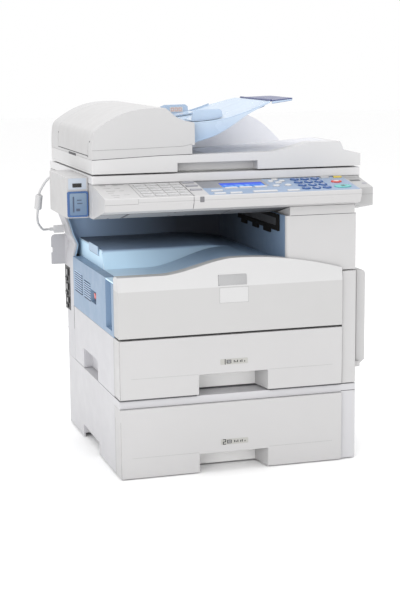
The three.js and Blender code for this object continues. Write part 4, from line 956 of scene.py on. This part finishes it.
def make_body_seams():
    """Gaps of the drawers, strip, right box and pillar, dark boxes in the drawers' gaps as painted shade, and
    the window of the sheets' exit.
    """
    # Dark boxes on the frame inside the drawers' gaps: painted shade.
    gap = Shape()
    for x0, x1, y0, y1 in ((1, 136, 2.6, 21), (269, 402, 2.6, 21), (138, 267, 49.5, 54)):
        gap.box(x0, x1, y0, y1, GAP_LOW, GAP_HIGH)
    gap.piece("drawer_gap_shade", DARK, FIXED, SEAM)
    marks("strip_gap", FIXED, SEAM,
          ([(STRIP_LEFT, 6, 138.2), (STRIP_RIGHT, 6, 138.2)], FRONT, 1.0),
          ([(STRIP_LEFT, 6, 125.5), (STRIP_RIGHT, 6, 125.5)], FRONT, 1.0, 0.3, 0.5),
          ([(1.2, 6, 124.6), (401.8, 6, 124.6)], FRONT, 1.6, 0.3, 0.5))
    top = lambda u, v, w: at(u, v, 485 + (v - 10) * 0.1987 + w)
    slab("right_box_window", DARK, FIXED, rounded(445.6, 51.5, 19, 8, 1), top, -0.4, 0.3,
         moulded("box_window", (0.09, 0.092, 0.1), 0.3), 0.0002)
    slab("right_box_button", GREY, FIXED, oval(455.5, 33, 9, 8), top, -0.4, 0.6, bevel=0.0003)
    marks("right_box_seam", FIXED, SOFT_SEAM,
          ([(428.7, 10, 473), (462.4, 10, 473)], FRONT, 0.8),
          ([(462.58, 10.6, 473), (462.58, 69, 473)], RIGHT, 0.8))
    marks("pillar_cap_seam", FIXED, SEAM, ([(309, 9, CAVITY_TOP), (430.4, 9, CAVITY_TOP)], FRONT))
    Shape().box(298.2, 300.8, 51, 253, 419.5, 432.5).piece(
        "exit_window", GREY, FIXED, moulded("exit_grey", (0.035, 0.035, 0.037), 0.5))


# ---- card reader
CARD_FRONT, DOOR_FRONT, CARD_DOOR_Z = 100, 99.6, 466


def make_card_reader():
    front, door = before(CARD_FRONT), before(DOOR_FRONT)
    slab("card_plate", "panel_blue_grey", FIXED, rounded(-43.4, 500.5, 31, 19, 1.5), front, -0.3, 0.3,
         moulded("card_plate", (0.42, 0.465, 0.53), 0.35), 0.0002)
    slab("card_slot_mouth", DARK, FIXED, rounded(-44, 498, 16, 7, 0.6), front, 0.2, 0.42)
    outer, inner = rounded(-43.8, CARD_DOOR_Z, 36.6, 44, 3.5), rounded(-43.0, CARD_DOOR_Z, 29.5, 37.5, 3)
    rim = Shape().ring(outer, inner, door, 0, 3.2)
    rim.piece("card_door_rim", CLEAR_BLUE, "card_door", EDGE_BLUE, 0.0004, replaces=["card_flap"])
    slab("card_door_pane", CLEAR_BLUE, "card_door",
         rounded(-43.0, CARD_DOOR_Z, 29.7, 37.7, 3), door, 0.2, 3.6,
         faded("card_pane", (0.18, 0.25, 0.34), (0.11, 0.175, 0.28), Z, 484, 448, 0.2), 0.0006)
    inside = Shape()
    for outline in ((-51.5, CARD_DOOR_Z, 2.6, 27, 1.2), (-41.5, 473, 8, 1.8, 0.5),
                    (-40.5, 467.5, 9, 1.8, 0.5), (-43.5, 456.5, 7, 4.5, 0.6)):
        inside.prism(rounded(*outline), door, 3.3, 3.75)
    inside.piece("card_door_inside", DARK, "card_door",
                 moulded("inside_navy", (0.05, 0.07, 0.12), 0.4))


# ---- ports, louvres
# The sockets of the interface bay: the middle's place to the back, lowest and highest height.
PORTS = ((418, 231, 238), (410, 241, 252), (421, 255, 262), (412, 266, 279), (422, 283, 290),
         (411, 294, 308))
PORT_HALF, SHELL_HALF, SHELL_WALL = 9, 4.5, 1.6
# Each group of louvres: front end, back end and number of slats.
LOUVRES = ((214, 264, 7), (285, 346, 9))
LOUVRE_FOOT, LOUVRE_PITCH = 276, 4.3


def make_ports():
    shells = Shape()
    dark = Shape().box(-0.6, 0.3, 391.5, 437.5, 228, 312)
    for y, z0, z1 in PORTS:
        dark.box(-2.6, -0.5, y - PORT_HALF, y + PORT_HALF, z0, z1)
        shells.box(-3.1, -2.4, y - SHELL_HALF, y + SHELL_HALF, z0 + SHELL_WALL, z1 - SHELL_WALL)
    dark.piece("port_bodies", DARK, FIXED, bevel=0.0004)
    shells.piece("port_shells", "zinc_steel", FIXED, SILVER, 0.0003)


def make_louvres():
    slit_shade = Shape()
    slats = Shape()
    for y0, y1, rows in LOUVRES:
        # Dark plates behind the slats: painted shade in the slits between them.
        slit_shade.box(-0.12, 0.3, y0 - 1, y1 + 1, 275.2, LOUVRE_FOOT + LOUVRE_PITCH * rows)
        for i in range(rows):
            z = LOUVRE_FOOT + LOUVRE_PITCH * (i + 1)
            slats.box(-0.5, -0.05, y0 - 1, y1 + 1, z - 2.0, z)
    slit_shade.piece("louvre_shadow", DARK, FIXED, moulded("louvre_slit_shade", (0.018, 0.035, 0.08), 0.6))
    slats.piece("louvre_slats", "blue_plastic", FIXED, moulded("louvre_blue", (0.34, 0.46, 0.62), 0.45))


def make_side_fittings():
    """Seams of the rear cover, a dark plate in the power switch's well as painted shade, and the mains
    inlet's pins.
    """
    marks("rear_cover_seam", FIXED, SEAM, ([(0, 361.2, 243), (0, 361.2, 198)], LEFT, 1.8))
    marks("rear_cover_step", FIXED, SOFT_SEAM, ([(0.2, 362, 198), (0.2, 437, 188)], LEFT, 0.8))
    # A dark plate on the switch well's floor: painted shade in the recess.
    Shape().box(7.0, 7.45, 167.3, 210.7, 277.3, 299.2).piece(
        "switch_well", "blue_plastic", FIXED, moulded("switch_well_shade", (0.06, 0.09, 0.15), 0.5))
    pins = Shape()
    for x in (338, 347, 356):
        pins.box(x - 1, x + 1, 417.2, 421, 170, 177)
    pins.piece("inlet_pins", "zinc_steel", FIXED, bevel=0.0002)


# ---- document tray
# The sheet's height and its side walls' lower edge over X, and its far edge's Y over X.
DOC_PROFILE = [(124, 600), (152, 600), (180, 600.8), (204, 603.3), (228.5, 608.8), (261, 619), (280, 626.2),
               (300, 633.8)]
DOC_WEB = [(160, 565), (200, 577), (230, 593), (257, 610.5), (280, 622), (300, 631.2)]
DOC_FAR_EDGE = [(124, 330), (262, 330), (276, 314), (290, 297), (298, 284), (300, 276)]
DOC_NEAR, DOC_THICKNESS = 86, 2.3
FLAP_LEFT, FLAP_PIVOT, FLAP_TOP, FLAP_SLOPE = 303.2, (302.8, 634.6), 635.1, 0.0973


def curve_at(points, steps=6):
    """Height over x of a smooth curve through the points, or of straight lines for no steps."""
    path = [Vector((x, 0, z)) for x, z in points]
    if steps:
        path = catmull(path, steps)

    def height(x):
        for a, b in zip(path, path[1:]):
            if x <= b.x:
                return a.z + (b.z - a.z) * (x - a.x) / (b.x - a.x)
        return path[-1].z

    return height


def make_document_tray():
    surface, web, far = curve_at(DOC_PROFILE), curve_at(DOC_WEB), curve_at(DOC_FAR_EDGE, 0)

    def part(shape, name, material=None, bevel=0.0004, **settings):
        shape.piece(name, CLEAR_BLUE, "document_tray", material, bevel, **settings)

    def side_wall(end, steps, rise, y0, y1):
        xs = spaced(160, end, steps)
        below = [(x, min(web(x), surface(x) - 2)) for x in reversed(xs)]
        return Shape().prism([*((x, surface(x) + rise) for x in xs), *below], along_y, y0, y1)

    sheet = Shape().field(
        [124.2, *spaced(132, 262, 22), *spaced(266, 300, 12)], [0, 0.01, 0.03, 0.25, 0.5, 0.75, 1],
        lambda u, v: surface(u) + (0.5 if 0 < v < 0.02 else 0), lambda u, v: surface(u) - DOC_THICKNESS,
        lambda u, v, w: at(u, DOC_NEAR + (far(u) - DOC_NEAR) * v, w))
    sheet.prism(oval(125.5, 598.8, 4.8, 4.8, 20), along_y, 86.2, 329.8)
    part(sheet, "document_tray_sheet", replaces=["doc_tray"])
    part(side_wall(300, 24, -0.2, 86.1, 88.4), "document_tray_front_wall",
         faded("tray_wall", (0.30, 0.40, 0.54), (0.46, 0.54, 0.64), Z, 572, 612, 0.25))
    part(side_wall(262, 20, 2.8, 327.7, 329.9), "document_tray_rear_wall")
    slab("document_tray_tab", DEEP_BLUE, "document_tray",
         [(275, 619.5), (289, 624.4), (291.5, 627.2), (275, 622.2)], along_y, 88.5, 97, EDGE_BLUE, 0.0003)


def make_tray_flap():
    lifted = lambda u, v, w: at(u, v, FLAP_TOP + (u - FLAP_PIVOT[0]) * FLAP_SLOPE + w)
    top = Shape().prism([(FLAP_LEFT, 86.2), (340.9, 86.2), (340.9, 196), (335, 213), (322, 229), (311, 246),
                         (304, 262), (FLAP_LEFT, 262)], lifted, -1.9, 0)
    top.prism(oval(*FLAP_PIVOT, 3.9, 3.9, 20), along_y, 90, 258)
    top.piece("flap_top", DEEP_BLUE, "tray_flap", bevel=0.0004, replaces=["tray_extension"])
    slab("flap_flange", CLEAR_BLUE, "tray_flap",
         [(303.3, 629.1), (340, 633.9), (341.1, 635.4), (341.1, 636.8), (303.3, 633.1)], along_y, 86.1,
         88.1, bevel=0.0004)
    marks("flap_flange_edge", "tray_flap", EDGE_BLUE,
          ([(303.5, 86.1, 629.5), (340, 86.1, 634.3)], FRONT, 0.5, 0.2, 0.12), slot=DEEP_BLUE)


def make_guide_label():
    """A pale label with generic outlines on the rear side guide."""
    face, low, high = 316.5, 609.5, 615
    Shape().box(182, 208, face, face + 0.45, 607.5, 617).piece(
        "guide_label", PALE, "rear_guide", WHITE_PRINT)
    marks("guide_label_marks", "rear_guide", ORANGE_PRINT,
          *(([(x, face, low), (x + 4.5, face, low), (x + 4.5, face, high), (x, face, high)], FRONT, 0.8,
             0.25, 0.15, True) for x in (185, 192.5, 200)), slot=PALE)


# ---- delivery pan
PAN_LEFT = 157.5
PAN_PROFILE = [(156, 538.5), (230, 540), (330, 549), (423, 562)]
FIN_CREST = [(260, 604), (300, 606), (333.8, 599.4), (356.7, 587.9), (375, 573.9), (389.7, 559.8),
             (398.6, 549.2), (401, 541)]
LIT_LAVENDER = (0.84, 0.85, 0.90)


def make_delivery_pan():
    """A liner sheet on the lid's delivery pan, pale lavender fading darker to the right as painted light and
    shade, low ribs in a darker lavender as painted shade, and a pale face on its fin as painted light.
    """
    pan = curve_at(PAN_PROFILE, 0)
    end = lambda y: 416 if y < 190 else 416 - (y - 190) * 1.15
    x_at = lambda u, y: PAN_LEFT + u * (end(y) - PAN_LEFT)
    # A sheet over the pan: painted light and shade, pale lavender fading darker to the right.
    liner = Shape().field(
        spaced(0, 1, 24), [97, 130, 160, 190, 230, 262, 295], lambda u, v: pan(x_at(u, v)) + 0.3,
        lambda u, v: pan(x_at(u, v)) - 0.3, lambda u, v, w: at(x_at(u, v), v, w))
    liner.piece("pan_liner", "white_plastic", "lid",
                faded("pan_liner", LIT_LAVENDER, (0.60, 0.60, 0.625), X, 180, 330))
    # Real low ribs, coloured darker as painted shade along them.
    marks("pan_ribs", "lid", moulded("rib_painted_shade", (0.60, 0.61, 0.67), 0.5),
          *(([(x, y, pan(x)) for x in spaced(160, end(y) - 4, 12)], UP, 1.4, 0.9, 0.3)
            for y in range(106, 296, 21)), slot="white_plastic")
    crest = catmull([Vector((x, 0, z)) for x, z in FIN_CREST], 3)
    # A pale plate on the fin's face: painted light where the fin lies in shade.
    outline = [(157.3, 541), (157.3, 585), (200, 592), *((p.x, min(p.z, 605.8)) for p in crest)]
    slab("fin_face", "white_plastic", "lid", outline, along_y, 313.45, 313.95,
         moulded("fin_painted_light", LIT_LAVENDER, 0.4))


make_document_tray()
make_tray_flap()
make_guide_label()
make_delivery_pan()
make_panel_underside()
make_feeder_seams()
make_body_seams()
make_card_reader()
make_ports()
make_louvres()
make_side_fittings()


# ---- stage, lights
FLOOR_SIZE = 12
# Each lamp's place and size in metres and its power in watts; all of them point at LIT_POINT.
LAMPS = (("key", (-1.9, -2.3, 1.15), 1.8, 34.0), ("fill", (1.8, -2.6, 1.2), 2.0, 13.0),
         ("top", (0.0, 0.2, 2.6), 1.6, 30.0))
LIT_POINT = Vector((0, 0, 0.3))


def make_stage():
    mesh = bpy.data.meshes.new("floor")
    corners = [(x * FLOOR_SIZE, y * FLOOR_SIZE, 0) for x, y in ((-1, -1), (1, -1), (1, 1), (-1, 1))]
    mesh.from_pydata(corners, [], [(0, 1, 2, 3)])
    floor = link(bpy.data.objects.new("floor", mesh))
    mesh.materials.append(moulded("floor", (0.985, 0.985, 0.985), 0.8, grain=300.0, vary=0.002))
    world = bpy.data.worlds.new("studio")
    bpy.context.scene.world = world
    world.use_nodes = True
    world.node_tree.nodes["Background"].inputs[0].default_value = (1, 1, 1, 1)
    for name, place, size, power in LAMPS:
        data = bpy.data.lights.new(name, "AREA")
        data.size = size
        data.energy = power
        lamp = link(bpy.data.objects.new(name, data))
        lamp.location = place
        lamp.rotation_euler = (LIT_POINT - Vector(place)).to_track_quat("-Z", "Y").to_euler()


make_stage()
bpy.context.scene.view_settings.view_transform = "Standard"
